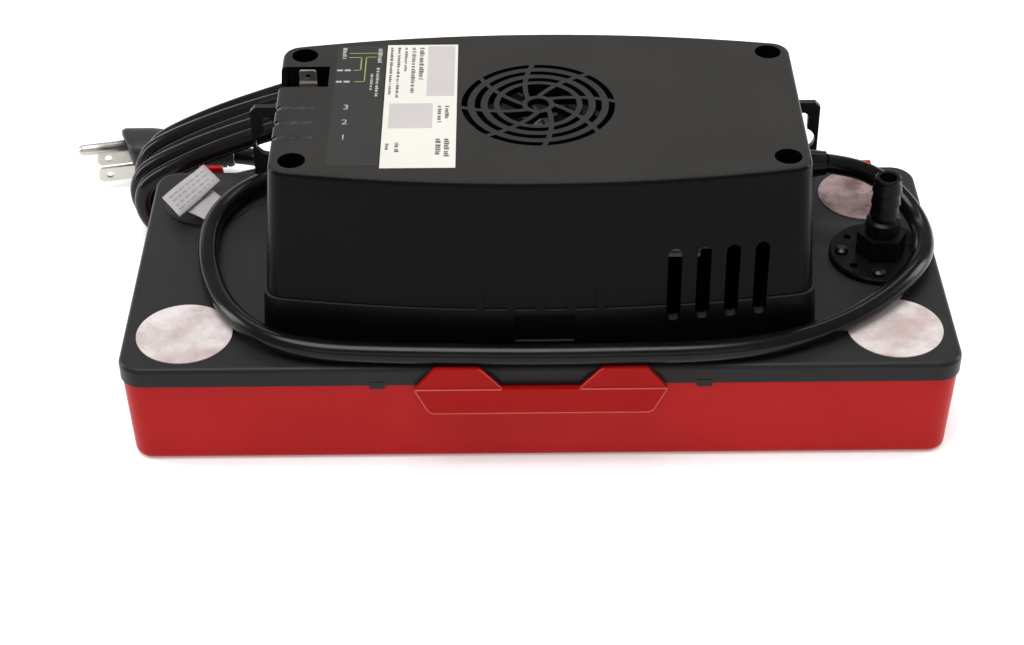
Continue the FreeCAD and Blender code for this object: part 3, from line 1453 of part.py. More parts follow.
def build_cord():
    """The power cord: strain relief, free run, coil, tail, plug and paper flag."""
    wall = housing_half(s.gland_height)
    start = wall - s.housing_wall - s.gland_inside
    x, y, z = s.housing_foot_half, s.gland_y, s.gland_height
    shank = rod("gland_shank", s.gland_radius, start, y, z, x - start + OVER, "X")
    lock = rod("gland_lock", s.gland_radius + s.gland_lip, start, y, z, s.gland_lock, "X")
    collar = rod("gland_collar_disc", s.gland_collar, x + s.gland_stand, y, z, s.gland_disc, "X")
    nose = cone("gland_nose", s.gland_radius + 0.2, s.cord_radius + 0.9, x + s.gland_disc, y, z,
                s.gland_length - s.gland_disc, "X")
    bore = rod("gland_bore", s.cord_radius, start - OVER, y, z, 4 * s.gland_length, "X")
    node("cord_gland", cut("gland_whole", join("gland_fused", shank, lock, collar, nose), bore))
    run = cord_tube("power_cord", cord_points())
    tail = cord_tube("cord_tail", tail_points())
    outer = hank_face(s.hank_band)
    inner = hank_face(-s.hank_band)
    hank = outer.cut(inner).extrude(Vector(0, number(s.hank_depth), 0))
    node("cord_coil", computed("cord_hank", hank.cut([run, tail])))
    build_plug()
    build_flag()


def build_plug():
    """A three-pin plug lying on the floor, its pins to the left."""
    x, y, z = s.plug_x, s.plug_y, s.plug_height
    half = s.plug_length / 2
    front = x - half
    rear = x + half
    shoulder = front + s.plug_block - OVER
    body = block("plug_front", front, y - s.plug_width / 2, z - s.plug_thick / 2, s.plug_block, s.plug_width,
                 s.plug_thick)
    taper = cone("plug_taper", s.plug_shoulder, s.plug_neck, shoulder, y, z, rear - shoulder, "X")
    sleeve = cone("plug_sleeve", s.plug_neck, s.sleeve_end, rear - OVER, y, z, s.sleeve_length, "X")
    bore = rod("plug_bore", s.cord_radius, rear - 2 * OVER, y, z, s.sleeve_length + CLEAR, "X")
    node("plug_body", cut("plug_whole", join("plug_fused", body, taper, sleeve), bore))
    tip = front - s.blade_length
    blades = [block(f"blade_{side}", tip, y + sign * s.blade_pitch / 2 - s.blade_thick / 2, z - 1, s.blade_length,
                    s.blade_thick, s.blade_width) for side, sign in (("front", -1), ("back", 1))]
    pin = rod("earth_pin", s.earth_radius, tip - s.earth_past, y, z - s.earth_drop,
              s.blade_length + s.earth_past, "X")
    node("plug_blades", *blades, pin)


def build_flag():
    """The paper flag folded round the cord near the cover's left rear corner."""
    outline = [(-117.6, 39.0), (-130.0, 52.5), (-143.3, 28.6), (-124.4, 17.5)]
    flag = plate("flag_plate", outline, s.cover_top + 2 * s.cord_radius + 0.8, 0.5)
    node("cord_flag", flag)


def check_and_export():
    """Stop on anything that failed, then write each sub-part."""
    doc.recompute()
    for part in doc.Objects:
        if "Invalid" in part.State or "Error" in part.State:
            raise RuntimeError(f"{part.Name} failed: {part.State}")
    os.makedirs("parts", exist_ok=True)
    for name, part in nodes.items():
        shape = part.Shape
        if shape.isNull() or not shape.isValid() or not shape.Solids:
            raise RuntimeError(f"{name} has no valid solid")
        shape.exportStep(f"parts/{name}.step")
        box = shape.BoundBox
        print(f"{name}: {len(shape.Solids)} solids, {shape.Volume:.0f} mm3,",
              f"x {box.XMin:.1f} {box.XMax:.1f}, y {box.YMin:.1f} {box.YMax:.1f}, z {box.ZMin:.1f} {box.ZMax:.1f}")


fill_sheet()
build_tank()
build_latch()
build_cover()
build_housing()
build_housing_screws()
build_indicators()
build_terminals()
build_motor()
build_rotor()
build_pump()
build_discharge()
build_float()
build_switches()
build_cord()
check_and_export()
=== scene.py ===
"""The looks of the condensate pump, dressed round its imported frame.

Places and sizes are in millimetres, apart from those of the floor and the lights, which are in metres.
"""
import json
import math
import random

import bpy
from mathutils import Matrix, Vector


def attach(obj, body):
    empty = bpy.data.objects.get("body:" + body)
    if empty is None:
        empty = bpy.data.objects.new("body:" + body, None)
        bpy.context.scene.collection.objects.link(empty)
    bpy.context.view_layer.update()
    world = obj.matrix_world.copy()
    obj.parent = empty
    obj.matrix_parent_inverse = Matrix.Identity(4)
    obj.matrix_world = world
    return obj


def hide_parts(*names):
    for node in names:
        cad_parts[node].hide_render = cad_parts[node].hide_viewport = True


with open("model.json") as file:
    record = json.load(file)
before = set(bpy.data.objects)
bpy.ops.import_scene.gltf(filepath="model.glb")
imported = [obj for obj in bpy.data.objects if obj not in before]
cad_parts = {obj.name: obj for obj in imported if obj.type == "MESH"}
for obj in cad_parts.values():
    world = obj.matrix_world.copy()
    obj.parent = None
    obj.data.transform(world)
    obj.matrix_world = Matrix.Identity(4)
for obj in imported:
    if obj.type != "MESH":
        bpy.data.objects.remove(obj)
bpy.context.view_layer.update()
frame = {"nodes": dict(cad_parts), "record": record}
nodes = frame["nodes"]
MM = 0.001

# The camera stands in front and above, at the photograph's angle. Its angles are in degrees.
CAMERA_AT = Vector((-12.445, -664.456, 519.034)) * MM
CAMERA_PITCH = 37.2155
CAMERA_YAW = 0.2263
CAMERA_ROLL = -0.3644
LENS_MM = 76.51
SENSOR_MM = 36.0

# The cord follows the same route as the solid's. LIE is its height where it lies on the cover.
CORD_RADIUS = 3.8
LIE = 47.4
OVER_FLANGE = 50.3
FREE_RUN = [
    (110.0, 30.5, 66.0),
    (121.0, 31.2, 63.8),
    (131.0, 29.3, 59.6),
    (138.8, 23.6, 55.2),
    (143.6, 14.6, 51.8),
    (145.0, 3.8, OVER_FLANGE),
    (143.0, -7.5, OVER_FLANGE),
    (137.0, -19.0, 50.2),
    (126.0, -31.5, 48.4),
    (107.0, -46.5, LIE),
    (84.5, -57.2, LIE),
    (60.0, -61.4, LIE),
    (30.0, -62.0, LIE),
    (0.0, -62.4, LIE),
    (-30.0, -61.6, LIE),
    (-56.0, -60.6, LIE),
    (-77.0, -59.2, 47.6),
    (-93.8, -54.8, 48.2),
    (-104.4, -46.4, 48.6),
    (-112.8, -34.6, 48.0),
    (-119.4, -19.0, LIE),
    (-123.8, 0.0, LIE),
    (-124.5, 22.0, LIE),
    (-116.5, 41.0, LIE),
    (-103.5, 52.0, LIE),
    (-92.5, 55.0, LIE),
    (-84.5, 60.0, 50.0),
    (-77.5, 66.0, 54.6),
]
TAIL = [
    (-96.0, 109.3, 17.7),
    (-104.5, 112.3, 15.3),
    (-112.5, 118.0, 12.8),
    (-119.5, 123.3, 11.3),
    (-127.0, 125.5, 10.8),
]

# The hank is the wound length behind the pump, by the middles and radii of its two ends. HANK_FIRST is the
# first turn's place along Y. Each turn grows and tilts (in degrees) by its own amount.
HANK_LEFT = (-146.0, 18.5)
HANK_LENGTH = 74.0
HANK_TILT = math.radians(18.0)
HANK_LEFT_BEND = 14.0
HANK_RIGHT_BEND = 17.0
HANK_FIRST = 72.3
HANK_PITCH = 7.4
HANK_TURNS = 5
HANK_FAN = 0.06
HANK_SWAY = 0.5
HANK_RISE = 0.7
TURN_GROWTH = (0.0, 3.4, -1.0, 2.8, -0.4, 1.6)
TURN_TILT = (0.0, -1.6, -0.3, -2.4, -1.0, 0.0)
ARCH = 3.2
END_POINTS = 6
BEND_OUTSET = 1.05
RUN_SHARES = (0.28, 0.72)


def collection_add(obj):
    """Put an object in the scene."""
    bpy.context.scene.collection.objects.link(obj)
    return obj


def build_camera():
    """The camera of the photograph."""
    pitch = math.radians(CAMERA_PITCH)
    yaw = math.radians(CAMERA_YAW)
    forward = Vector((math.sin(yaw) * math.cos(pitch), math.cos(yaw) * math.cos(pitch), -math.sin(pitch)))
    right = Vector((math.cos(yaw), -math.sin(yaw), 0))
    up = right.cross(forward)
    turn = Matrix.Rotation(math.radians(-CAMERA_ROLL), 3, forward)
    right = turn @ right
    up = turn @ up
    data = bpy.data.cameras.new("camera")
    data.sensor_width = SENSOR_MM
    data.lens = LENS_MM
    data.clip_start = 0.01
    camera = collection_add(bpy.data.objects.new("camera", data))
    axes = Matrix((right, up, -forward)).transposed()
    camera.matrix_world = Matrix.Translation(CAMERA_AT) @ axes.to_4x4()
    bpy.context.scene.camera = camera


def ring_point(centre, radius, angle):
    """The place at an angle on a ring in the XZ plane."""
    return centre + Vector((math.cos(angle), 0, math.sin(angle))) * radius


def bend_points(centre, radius, first, last):
    """Points round one end of the hank, a little outside it, because the smooth line cuts corners."""
    shares = [(k + 0.5) / END_POINTS for k in range(END_POINTS)]
    return [ring_point(centre, radius * BEND_OUTSET, first + (last - first) * share) for share in shares]


def run_points(start, finish):
    """Points on a straight run between the hank's ends."""
    return [start.lerp(finish, share) for share in RUN_SHARES]


def lap_points(left, right):
    """One turn of the hank: round the right end, along the bottom, round the left end, along the top."""
    lean = math.asin((HANK_RIGHT_BEND - HANK_LEFT_BEND) / HANK_LENGTH)
    high = HANK_TILT + math.pi / 2 + lean
    low = HANK_TILT - math.pi / 2 - lean
    lap = bend_points(right, HANK_RIGHT_BEND, high, low)
    lap += run_points(ring_point(right, HANK_RIGHT_BEND, low), ring_point(left, HANK_LEFT_BEND, low))
    lap += bend_points(left, HANK_LEFT_BEND, low, high - math.tau)
    lap += run_points(ring_point(left, HANK_LEFT_BEND, high), ring_point(right, HANK_RIGHT_BEND, high))
    return lap


def hank_points():
    """The wound length: turns that stand side by side, run clockwise seen from the front."""
    rng = random.Random(4)
    left = Vector((HANK_LEFT[0], 0, HANK_LEFT[1]))
    right = left + Vector((math.cos(HANK_TILT), 0, math.sin(HANK_TILT))) * HANK_LENGTH
    middle = (left + right) / 2
    lap = lap_points(left, right)
    top_run = len(lap) - len(RUN_SHARES)
    line = []
    for step in range(HANK_TURNS * len(lap) + END_POINTS):
        turn, place = divmod(step, len(lap))
        point = lap[place].copy()
        if place >= top_run:
            point.z += ARCH
        lean_back = Matrix.Rotation(math.radians(-TURN_TILT[turn]), 3, "Y")
        point = middle + lean_back @ (point - middle) * (1 + TURN_GROWTH[turn] / HANK_LENGTH)
        fan = math.cos(math.tau * (step - END_POINTS / 2) / len(lap))
        point.y = HANK_FIRST + HANK_PITCH * step / len(lap) * (1 + HANK_FAN * fan)
        if place > END_POINTS:
            point += Vector((rng.uniform(-HANK_SWAY, HANK_SWAY), 0, rng.uniform(0, HANK_RISE)))
        line.append(tuple(point))
    return line


def build_cord():
    """The power cord as one smooth line, from the gland to the plug."""
    route = FREE_RUN + hank_points() + TAIL
    curve = bpy.data.curves.new("mains_cord", "CURVE")
    curve.dimensions = "3D"
    spline = curve.splines.new("NURBS")
    spline.points.add(len(route) - 1)
    for point, place in zip(spline.points, route):
        point.co = (*(Vector(place) * MM), 1)
    spline.order_u = 3
    spline.use_endpoint_u = True
    spline.resolution_u = 6
    curve.bevel_depth = CORD_RADIUS * MM
    curve.bevel_resolution = 8
    curve.use_fill_caps = True
    return collection_add(bpy.data.objects.new("mains_cord", curve))


def length_of(cord):
    """The length of a cord's centreline, in metres."""
    bevel = cord.data.bevel_depth
    cord.data.bevel_depth = 0
    bpy.context.view_layer.update()
    line = bpy.data.meshes.new_from_object(cord)
    spots = [vertex.co for vertex in line.vertices]
    total = sum((spots[first] - spots[last]).length for first, last in (edge.vertices for edge in line.edges))
    cord.data.bevel_depth = bevel
    bpy.data.meshes.remove(line)
    return total


build_camera()
cord = build_cord()
print("cord length", round(length_of(cord), 4))

# Most of a noise texture's values lie between these two.
NOISE_LOW = 0.3
NOISE_HIGH = 0.7


def scaled(colour, factor):
    """A colour made darker or lighter."""
    return tuple(min(1, channel * factor) for channel in colour)


class Graph:
    """Short calls for building a material's nodes."""

    def __init__(self, name):
        self.material = bpy.data.materials.new(name)
        self.material.use_nodes = True
        self.tree = self.material.node_tree
        self.shader = self.tree.nodes["Principled BSDF"]
        self.place = None

    def set(self, **values):
        """Give the shader's sockets constant values."""
        for label, value in values.items():
            self.shader.inputs[label.replace("_", " ")].default_value = value
        return self

    def new(self, kind, **fields):
        """Add a node."""
        made = self.tree.nodes.new(kind)
        for label, value in fields.items():
            setattr(made, label, value)
        return made

    def link(self, source, target):
        """Join an output to an input."""
        self.tree.links.new(source, target)

    def feed(self, label, source):
        """Join an output to one of the shader's sockets."""
        self.link(source, self.shader.inputs[label])

    def where(self):
        """The place on the object."""
        if self.place is None:
            self.place = self.new("ShaderNodeTexCoord").outputs["Object"]
        return self.place

    def axis(self, vector, letter):
        """One of a vector's three values."""
        split = self.new("ShaderNodeSeparateXYZ")
        self.link(vector, split.inputs[0])
        return split.outputs[letter]

    def upward(self):
        """How far the surface looks up, 0 on the walls and 1 on top."""
        return self.axis(self.new("ShaderNodeNewGeometry").outputs["Normal"], "Z")

    def noise(self, size_mm, detail, roughness=0.55):
        """Noise whose features measure about so many millimetres."""
        made = self.new("ShaderNodeTexNoise")
        made.inputs["Scale"].default_value = 1 / (size_mm * MM)
        made.inputs["Detail"].default_value = detail
        made.inputs["Roughness"].default_value = roughness
        self.link(self.where(), made.inputs["Vector"])
        return made.outputs["Fac"]

    def ramp(self, source, low, high, start=0.0, stop=1.0):
        """Turn a value from low..high into start..stop, smoothly."""
        made = self.new("ShaderNodeMapRange", interpolation_type="SMOOTHSTEP")
        for label, value in (("From Min", low), ("From Max", high), ("To Min", start), ("To Max", stop)):
            made.inputs[label].default_value = value
        self.link(source, made.inputs["Value"])
        return made.outputs["Result"]

    def patches(self, size_mm, detail, start=0.0, stop=1.0):
        """Soft patches of noise with values from start to stop."""
        return self.ramp(self.noise(size_mm, detail), NOISE_LOW, NOISE_HIGH, start, stop)

    def mix(self, factor, first, second):
        """Blend two colours, each of them a tuple or an output."""
        made = self.new("ShaderNodeMix", data_type="RGBA")
        self.link(factor, made.inputs["Factor"])
        sockets = [socket for socket in made.inputs if socket.type == "RGBA"]
        for socket, value in zip(sockets, (first, second)):
            if isinstance(value, tuple):
                socket.default_value = (*value, 1)
            else:
                self.link(value, socket)
        return next(socket for socket in made.outputs if socket.type == "RGBA")

    def varied(self, factor, colour, change):
        """A colour that gets darker and lighter by a share."""
        return self.mix(factor, scaled(colour, 1 - change), scaled(colour, 1 + change))

    def combine(self, operation, first, second):
        """Arithmetic with two values, each of them a number or an output."""
        made = self.new("ShaderNodeMath", operation=operation)
        for socket, value in zip(made.inputs, (first, second)):
            if isinstance(value, (int, float)):
                socket.default_value = value
            else:
                self.link(value, socket)
        return made.outputs[0]

    def bump(self, height, strength, depth_mm):
        """Make the surface uneven."""
        made = self.new("ShaderNodeBump")
        made.inputs["Strength"].default_value = strength
        made.inputs["Distance"].default_value = depth_mm * MM
        self.link(height, made.inputs["Height"])
        self.feed("Normal", made.outputs["Normal"])


# The top's look, painted paler as painted light, fades in between these two values of Graph.upward.
WALL_ENDS = 0.55
TOP_STARTS = 0.98
COVER_BLACK = (0.018, 0.017, 0.018)


def moulded(name, wall, top, wall_rough, top_rough, grain_mm, grain_depth, specular):
    """Black moulded plastic, more matte where it is grained on top, and painted paler on top as painted
    light.
    """
    g = Graph(name).set(Specular_IOR_Level=specular)
    face = g.ramp(g.upward(), WALL_ENDS, TOP_STARTS)
    shade = g.patches(38, detail=4)
    # Painted light: faces that look up take the paler top colour, and the walls take the darker wall colour.
    g.feed("Base Color", g.mix(face, g.varied(shade, wall, 0.12), g.varied(shade, top, 0.06)))
    rough = g.ramp(face, 0, 1, wall_rough, top_rough)
    uneven = g.ramp(g.noise(9, detail=3), 0.25, 0.75, -0.03, 0.03)
    g.feed("Roughness", g.combine("ADD", rough, uneven))
    grain = g.noise(grain_mm, detail=4, roughness=0.6)
    grain = g.combine("MULTIPLY", grain, g.ramp(face, 0, 1, 0.25, 1.0))
    wave = g.combine("MULTIPLY", g.noise(14, detail=2), 1.5)
    g.bump(g.combine("ADD", grain, wave), strength=0.6, depth_mm=grain_depth)
    return g.material


def cover_plastic():
    """The cover's black, much the same on its walls and its top; the top is painted a little paler as painted
    light.
    """
    return moulded("cover_plastic", wall=(0.013, 0.0125, 0.013), top=COVER_BLACK, wall_rough=0.34,
                   top_rough=0.42, grain_mm=0.7, grain_depth=0.06, specular=0.16)


def housing_plastic():
    """The housing's black, deep and glossy on its walls and matte on its top, which is painted paler as
    painted light.
    """
    return moulded("housing_plastic", wall=(0.003, 0.003, 0.003), top=(0.029, 0.028, 0.0265), wall_rough=0.26,
                   top_rough=0.5, grain_mm=0.5, grain_depth=0.05, specular=0.06)


def red_plastic():
    """Glossy red plastic with the faint ripple of a moulding."""
    g = Graph("red_plastic").set(Specular_IOR_Level=0.09)
    g.feed("Base Color", g.mix(g.patches(60, detail=3), (0.37, 0.009, 0.009), (0.42, 0.012, 0.012)))
    g.feed("Roughness", g.patches(7, detail=4, start=0.28, stop=0.38))
    g.bump(g.noise(11, detail=3), strength=0.35, depth_mm=0.12)
    return g.material


def latch_red():
    """The latch's slightly deeper red."""
    g = Graph("red_latch").set(Specular_IOR_Level=0.07)
    g.feed("Base Color", g.mix(g.patches(30, detail=3), (0.325, 0.0065, 0.0055), (0.34, 0.0075, 0.006)))
    g.feed("Roughness", g.patches(7, detail=4, start=0.29, stop=0.33))
    return g.material


def cord_jacket():
    """Soft glossy black jacket."""
    g = Graph("cord_jacket").set(Specular_IOR_Level=0.2)
    g.feed("Base Color", g.mix(g.patches(25, detail=2), (0.003, 0.003, 0.003), (0.006, 0.005, 0.0055)))
    g.feed("Roughness", g.patches(6, detail=4, start=0.17, stop=0.23))
    g.bump(g.noise(7, detail=3), strength=0.3, depth_mm=0.05)
    return g.material


def pearly_film():
    """The inlet seals: thin pearly film, cloudy with a warm tint, and painted darker at the back as painted
    shade.

    The seal at the rear left is smooth, and black like the cover.
    """
    g = Graph("pearly_film").set(Specular_IOR_Level=0.3)
    behind = g.combine("GREATER_THAN", g.axis(g.where(), "Y"), 0.0)
    left = g.combine("LESS_THAN", g.axis(g.where(), "X"), 0.0)
    rear_left = g.combine("MULTIPLY", behind, left)
    cloud = g.ramp(g.noise(12, detail=5, roughness=0.65), 0.36, 0.66)
    tint = g.mix(cloud, (0.49, 0.42, 0.41), (0.66, 0.61, 0.60))
    blush = g.ramp(g.noise(17, detail=3), 0.48, 0.66, stop=0.45)
    front_film = g.mix(blush, tint, (0.42, 0.26, 0.25))
    # Painted shade: the seals at the back (Y above 0) take a darker copy of the film.
    shaded_back_film = g.mix(cloud, (0.12, 0.07, 0.07), (0.30, 0.21, 0.21))
    film = g.mix(behind, front_film, shaded_back_film)
    g.feed("Base Color", g.mix(rear_left, film, COVER_BLACK))
    g.feed("Roughness", g.patches(4, detail=4, start=0.22, stop=0.42))
    elsewhere = g.combine("SUBTRACT", 1.0, rear_left)
    g.bump(g.combine("MULTIPLY", g.noise(6, detail=4), elsewhere), strength=0.5, depth_mm=0.12)
    return g.material


def metal(name, colour, rough, grain_mm=0.8, depth=0.02):
    """Bare or plated metal with fine uneven gloss."""
    g = Graph(name).set(Metallic=1.0)
    g.feed("Base Color", g.mix(g.patches(6, detail=4), scaled(colour, 0.88), colour))
    g.feed("Roughness", g.patches(2.5, detail=4, start=rough - 0.06, stop=rough + 0.08))
    g.bump(g.noise(grain_mm, detail=3), strength=0.4, depth_mm=depth)
    return g.material


def stacked_steel():
    """The motor's stack of steel sheets, drawn as level bands about 3 mm apart."""
    g = Graph("stacked_steel").set(Metallic=1.0, Roughness=0.42)
    wave = g.new("ShaderNodeTexWave", bands_direction="Z")
    wave.inputs["Scale"].default_value = 100.0
    g.link(g.where(), wave.inputs["Vector"])
    line = g.ramp(wave.outputs["Fac"], 0.1, 0.6)
    g.feed("Base Color", g.mix(line, (0.16, 0.16, 0.17), (0.46, 0.46, 0.48)))
    g.bump(line, strength=0.5, depth_mm=0.05)
    return g.material


def plain(name, colour, rough, size_mm=10, change=0.08, depth=0.04, **more):
    """A plastic, rubber, foam, paper or ink with gentle unevenness."""
    g = Graph(name).set(**more)
    g.feed("Base Color", g.varied(g.patches(size_mm, detail=4), colour, change))
    g.feed("Roughness", g.patches(size_mm / 3, detail=3, start=rough - 0.05, stop=rough + 0.06))
    g.bump(g.noise(size_mm / 8, detail=3), strength=0.4, depth_mm=depth)
    return g.material


def smoked_lens():
    """Smoked clear plastic over the indicator lamps."""
    g = Graph("smoked_lens").set(Transmission_Weight=0.2, IOR=1.49, Specular_IOR_Level=0.5)
    g.feed("Base Color", g.mix(g.patches(5, detail=3), (0.016, 0.016, 0.017), (0.05, 0.05, 0.052)))
    g.feed("Roughness", g.patches(2, detail=3, start=0.16, stop=0.3))
    return g.material


LOOKS = {
    "red_shell": red_plastic(),
    "cover_black": cover_plastic(),
    "housing_black": housing_plastic(),
    "seal_foil": pearly_film(),
    "zinc_steel": metal("black_zinc", (0.045, 0.045, 0.047), rough=0.36),
    "clear_guide": smoked_lens(),
    "board": plain("board", (0.02, 0.11, 0.05), rough=0.4),
    "tinned_brass": metal("tinned_brass", (0.60, 0.575, 0.53), rough=0.34, grain_mm=0.6, depth=0.015),
    "lamination": stacked_steel(),
    "winding": plain("winding", (0.55, 0.34, 0.10), rough=0.45, size_mm=6, change=0.15, depth=0.15),
    "bronze": metal("bronze", (0.42, 0.25, 0.11), rough=0.5, grain_mm=0.5, depth=0.04),
    "shaft_steel": metal("shaft_steel", (0.72, 0.72, 0.72), rough=0.22),
    "inner_plastic": plain("inner_plastic", (0.045, 0.045, 0.05), rough=0.42),
    "rubber_black": plain("rubber_black", (0.018, 0.018, 0.018), rough=0.62, size_mm=4, change=0.15,
                          depth=0.08),
    "float_foam": plain("float_foam", (0.62, 0.60, 0.53), rough=0.75, size_mm=3, change=0.06, depth=0.2),
    "cord_black": cord_jacket(),
    "flag_paper": plain("flag_paper", (0.34, 0.32, 0.33), rough=0.6, size_mm=14, change=0.05, depth=0.05),
}


def dress(obj, look):
    """Give every slot of an object one material."""
    obj.data.materials.clear()
    obj.data.materials.append(look)


def dress_nodes():
    """Each CAD node takes the look of its slot in the record, apart from the fitting, which has its own."""
    for part in frame["record"]["subparts"]:
        dress(nodes[part["node"]], LOOKS[part["material_slot"]])
    fitting_black = plain("fitting_black", (0.004, 0.004, 0.004), rough=0.3, size_mm=8, change=0.1,
                          depth=0.03, Specular_IOR_Level=0.1)
    dress(nodes["discharge_fitting"], fitting_black)


dress_nodes()
dress(cord, LOOKS["cord_black"])
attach(cord, "cover_body")
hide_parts("power_cord", "cord_coil", "cord_tail")

BOX_FACES = ((3, 2, 1, 0), (4, 5, 6, 7), (0, 1, 5, 4), (1, 2, 6, 5), (2, 3, 7, 6), (3, 0, 4, 7))
HOLE_SIDES = 20


def seat(name, data, look, body="cover_body"):
    """A mesh or curve as a piece: in the scene, dressed and on its body."""
    obj = collection_add(bpy.data.objects.new(name, data))
    dress(obj, look)
    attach(obj, body)
    return obj


def piece(name, points, faces, look):
    """A piece from the points and faces of its mesh."""
    data = bpy.data.meshes.new(name)
    data.from_pydata([Vector(point) * MM for point in points], [], faces)
    return seat(name, data, look)


def slabs(name, rectangles, low, high, look):
    """Level slabs as one piece; each rectangle is two opposite corners seen from above."""
    points, faces = [], []
    for (x0, y0), (x1, y1) in rectangles:
        first = len(points)
        points += [(x, y, z) for z in (low, high) for x, y in ((x0, y0), (x1, y0), (x1, y1), (x0, y1))]
        faces += [[first + corner for corner in face] for face in BOX_FACES]
    return piece(name, points, faces, look)


def soft_edges(obj, width_mm, segments=2):
    """Round the edges of a piece."""
    bevel = obj.modifiers.new("soft_edges", "BEVEL")
    bevel.width = width_mm * MM
    bevel.segments = segments
    bevel.limit_method = "ANGLE"


def circle(x, z, radius):
    """Points round a hole."""
    angles = [math.tau * k / HOLE_SIDES for k in range(HOLE_SIDES)]
    return [(x + radius * math.cos(angle), z + radius * math.sin(angle)) for angle in angles]


def outline_piece(name, outline, start, thickness, look, body, holes=()):
    """An outline in the XZ plane made thick along +Y, with round holes."""
    curve = bpy.data.curves.new(name, "CURVE")
    curve.dimensions = "2D"
    curve.fill_mode = "BOTH"
    curve.extrude = thickness / 2 * MM
    for loop in [outline] + [circle(*hole) for hole in holes]:
        spline = curve.splines.new("POLY")
        spline.points.add(len(loop) - 1)
        for point, (x, z) in zip(spline.points, loop):
            point.co = (x * MM, z * MM, 0, 1)
        spline.use_cyclic_u = True
    shape = bpy.data.objects.new(f"{name}_outline", curve)
    mesh = bpy.data.meshes.new_from_object(shape)
    mesh.name = name
    turn = Matrix.Rotation(math.pi / 2, 4, "X")
    mesh.transform(Matrix.Translation((0, (start + thickness / 2) * MM, 0)) @ turn)
    bpy.data.objects.remove(shape)
    bpy.data.curves.remove(curve)
    return seat(name, mesh, look, body)


def loft_along_x(name, centre, sections, look, sides=40):
    """A closed body through sections, each a place along X, two half widths and a squareness."""
    points, faces = [], []
    for x, half_y, half_z, square in sections:
        for k in range(sides):
            angle = math.tau * k / sides
            c, s = math.cos(angle), math.sin(angle)
            y = math.copysign(abs(c) ** (2 / square), c) * half_y
            z = math.copysign(abs(s) ** (2 / square), s) * half_z
            points.append((x, centre[0] + y, centre[1] + z))
    for row in range(len(sections) - 1):
        for k in range(sides):
            a, b = row * sides + k, row * sides + (k + 1) % sides
            faces.append((a, b, b + sides, a + sides))
    faces.append(tuple(reversed(range(sides))))
    faces.append(tuple(range(len(points) - sides, len(points))))
    obj = piece(name, points, faces, look)
    for face in obj.data.polygons:
        face.use_smooth = len(face.vertices) == 4
    return obj


# What lies on the housing's top. A line of strokes is its x, its first and last y and its width.
HOUSING_TOP = 112.0
LABEL_FILM = 0.12
PANEL_FILM = 0.04
INK_FILM = 0.03
RATING_LABEL = ((-55, -41), (-29, 42.4))
WIRING_PANEL = ((-73.5, -39), (-55.6, 42))
LABEL_FIELDS = [((-40, 6), (-30, 41.4)), ((-53, -15.5), (-37.5, 1))]
LABEL_LINES = [
    (-42.2, 40.3, 15.9, 1.7),
    (-45.1, 40.3, 6.9, 1.5),
    (-48.0, 40.4, 22.4, 1.0),
    (-50.6, 40.5, 5.0, 1.0),
    (-53.3, 40.5, 6.4, 1.0),
    (-32.4, -0.8, -9.2, 1.4),
    (-35.0, -0.8, -12.1, 1.4),
    (-32.2, -22.6, -34.8, 1.8),
    (-35.2, -22.6, -33.2, 1.8),
    (-49.5, -24.9, -31.3, 1.5),
    (-52.9, -25.5, -30.6, 1.2),
]
PANEL_LINES = [
    (-70.8, 40.6, 32.0, 1.5),
    (-57.6, 39.9, 28.9, 1.6),
    (-58.0, 26.1, 5.8, 1.1),
    (-60.1, 21.9, 10.6, 1.0),
]

# The diagram's lines, and the marks beside them, as first corners and one size.
DIAGRAM = [
    ((-68.7, 36.7), (-58.6, 36.7)),
    ((-68.9, 33.7), (-64.4, 33.7)),
    ((-64.4, 33.7), (-64.4, 24.5)),
    ((-64.4, 24.5), (-66.8, 24.5)),
    ((-59.2, 33.9), (-62.7, 33.9)),
    ((-62.7, 33.9), (-62.7, 16.4)),
    ((-62.7, 16.4), (-66.1, 16.4)),
]
TRACE_HALF = 0.22
MARKS_X = (-73.0, -70.2)
MARKS_Y = (15.9, 23.9)
MARK_SIZE = (2.2, 1.2)

# Strokes come in random lengths and gaps, and end at one of two shares of their line's width. A line ends
# where less than SHORTEST_REST of it is left.
STROKE_LENGTHS = (0.5, 1.5)
STROKE_GAPS = (0.35, 0.35, 0.35, 0.9)
STROKE_ENDS = (0.3, 0.5)
SHORTEST_REST = 0.8

LAMP_NUMBERS = [("3", -69.6, -2.6), ("2", -69.6, -12.5), ("1", -69.6, -22.4)]
NUMBER_SIZE = 4.6
NUMBER_RAISE = 0.05


def dashes(rng, line):
    """Break a line into short strokes, each of them a rectangle."""
    x, start, stop, width = line
    strokes = []
    y = start
    while y > stop + SHORTEST_REST:
        end = max(stop, y - rng.uniform(*STROKE_LENGTHS))
        strokes.append(((x - width / 2, end), (x + width * rng.choice(STROKE_ENDS), y)))
        y = end - rng.choice(STROKE_GAPS)
    return strokes


def trace_rectangle(start, finish):
    """The rectangle of one straight line of the diagram."""
    low = tuple(min(pair) - TRACE_HALF for pair in zip(start, finish))
    high = tuple(max(pair) + TRACE_HALF for pair in zip(start, finish))
    return low, high


def build_label(rng):
    """The white label with two grey fields and rows of plain strokes."""
    white = plain("label_white", (0.66, 0.64, 0.59), rough=0.5, size_mm=20, change=0.02, depth=0.01)
    grey = plain("label_grey", (0.48, 0.45, 0.44), rough=0.5, size_mm=20, change=0.02, depth=0.01)
    ink = plain("label_ink", (0.10, 0.10, 0.105), rough=0.5, size_mm=8, change=0.2, depth=0.01)
    top = HOUSING_TOP + LABEL_FILM
    slabs("rating_label", [RATING_LABEL], HOUSING_TOP, top, white)
    slabs("label_fields", LABEL_FIELDS, top, top + INK_FILM, grey)
    strokes = [stroke for line in LABEL_LINES for stroke in dashes(rng, line)]
    slabs("label_strokes", strokes, top, top + INK_FILM, ink)


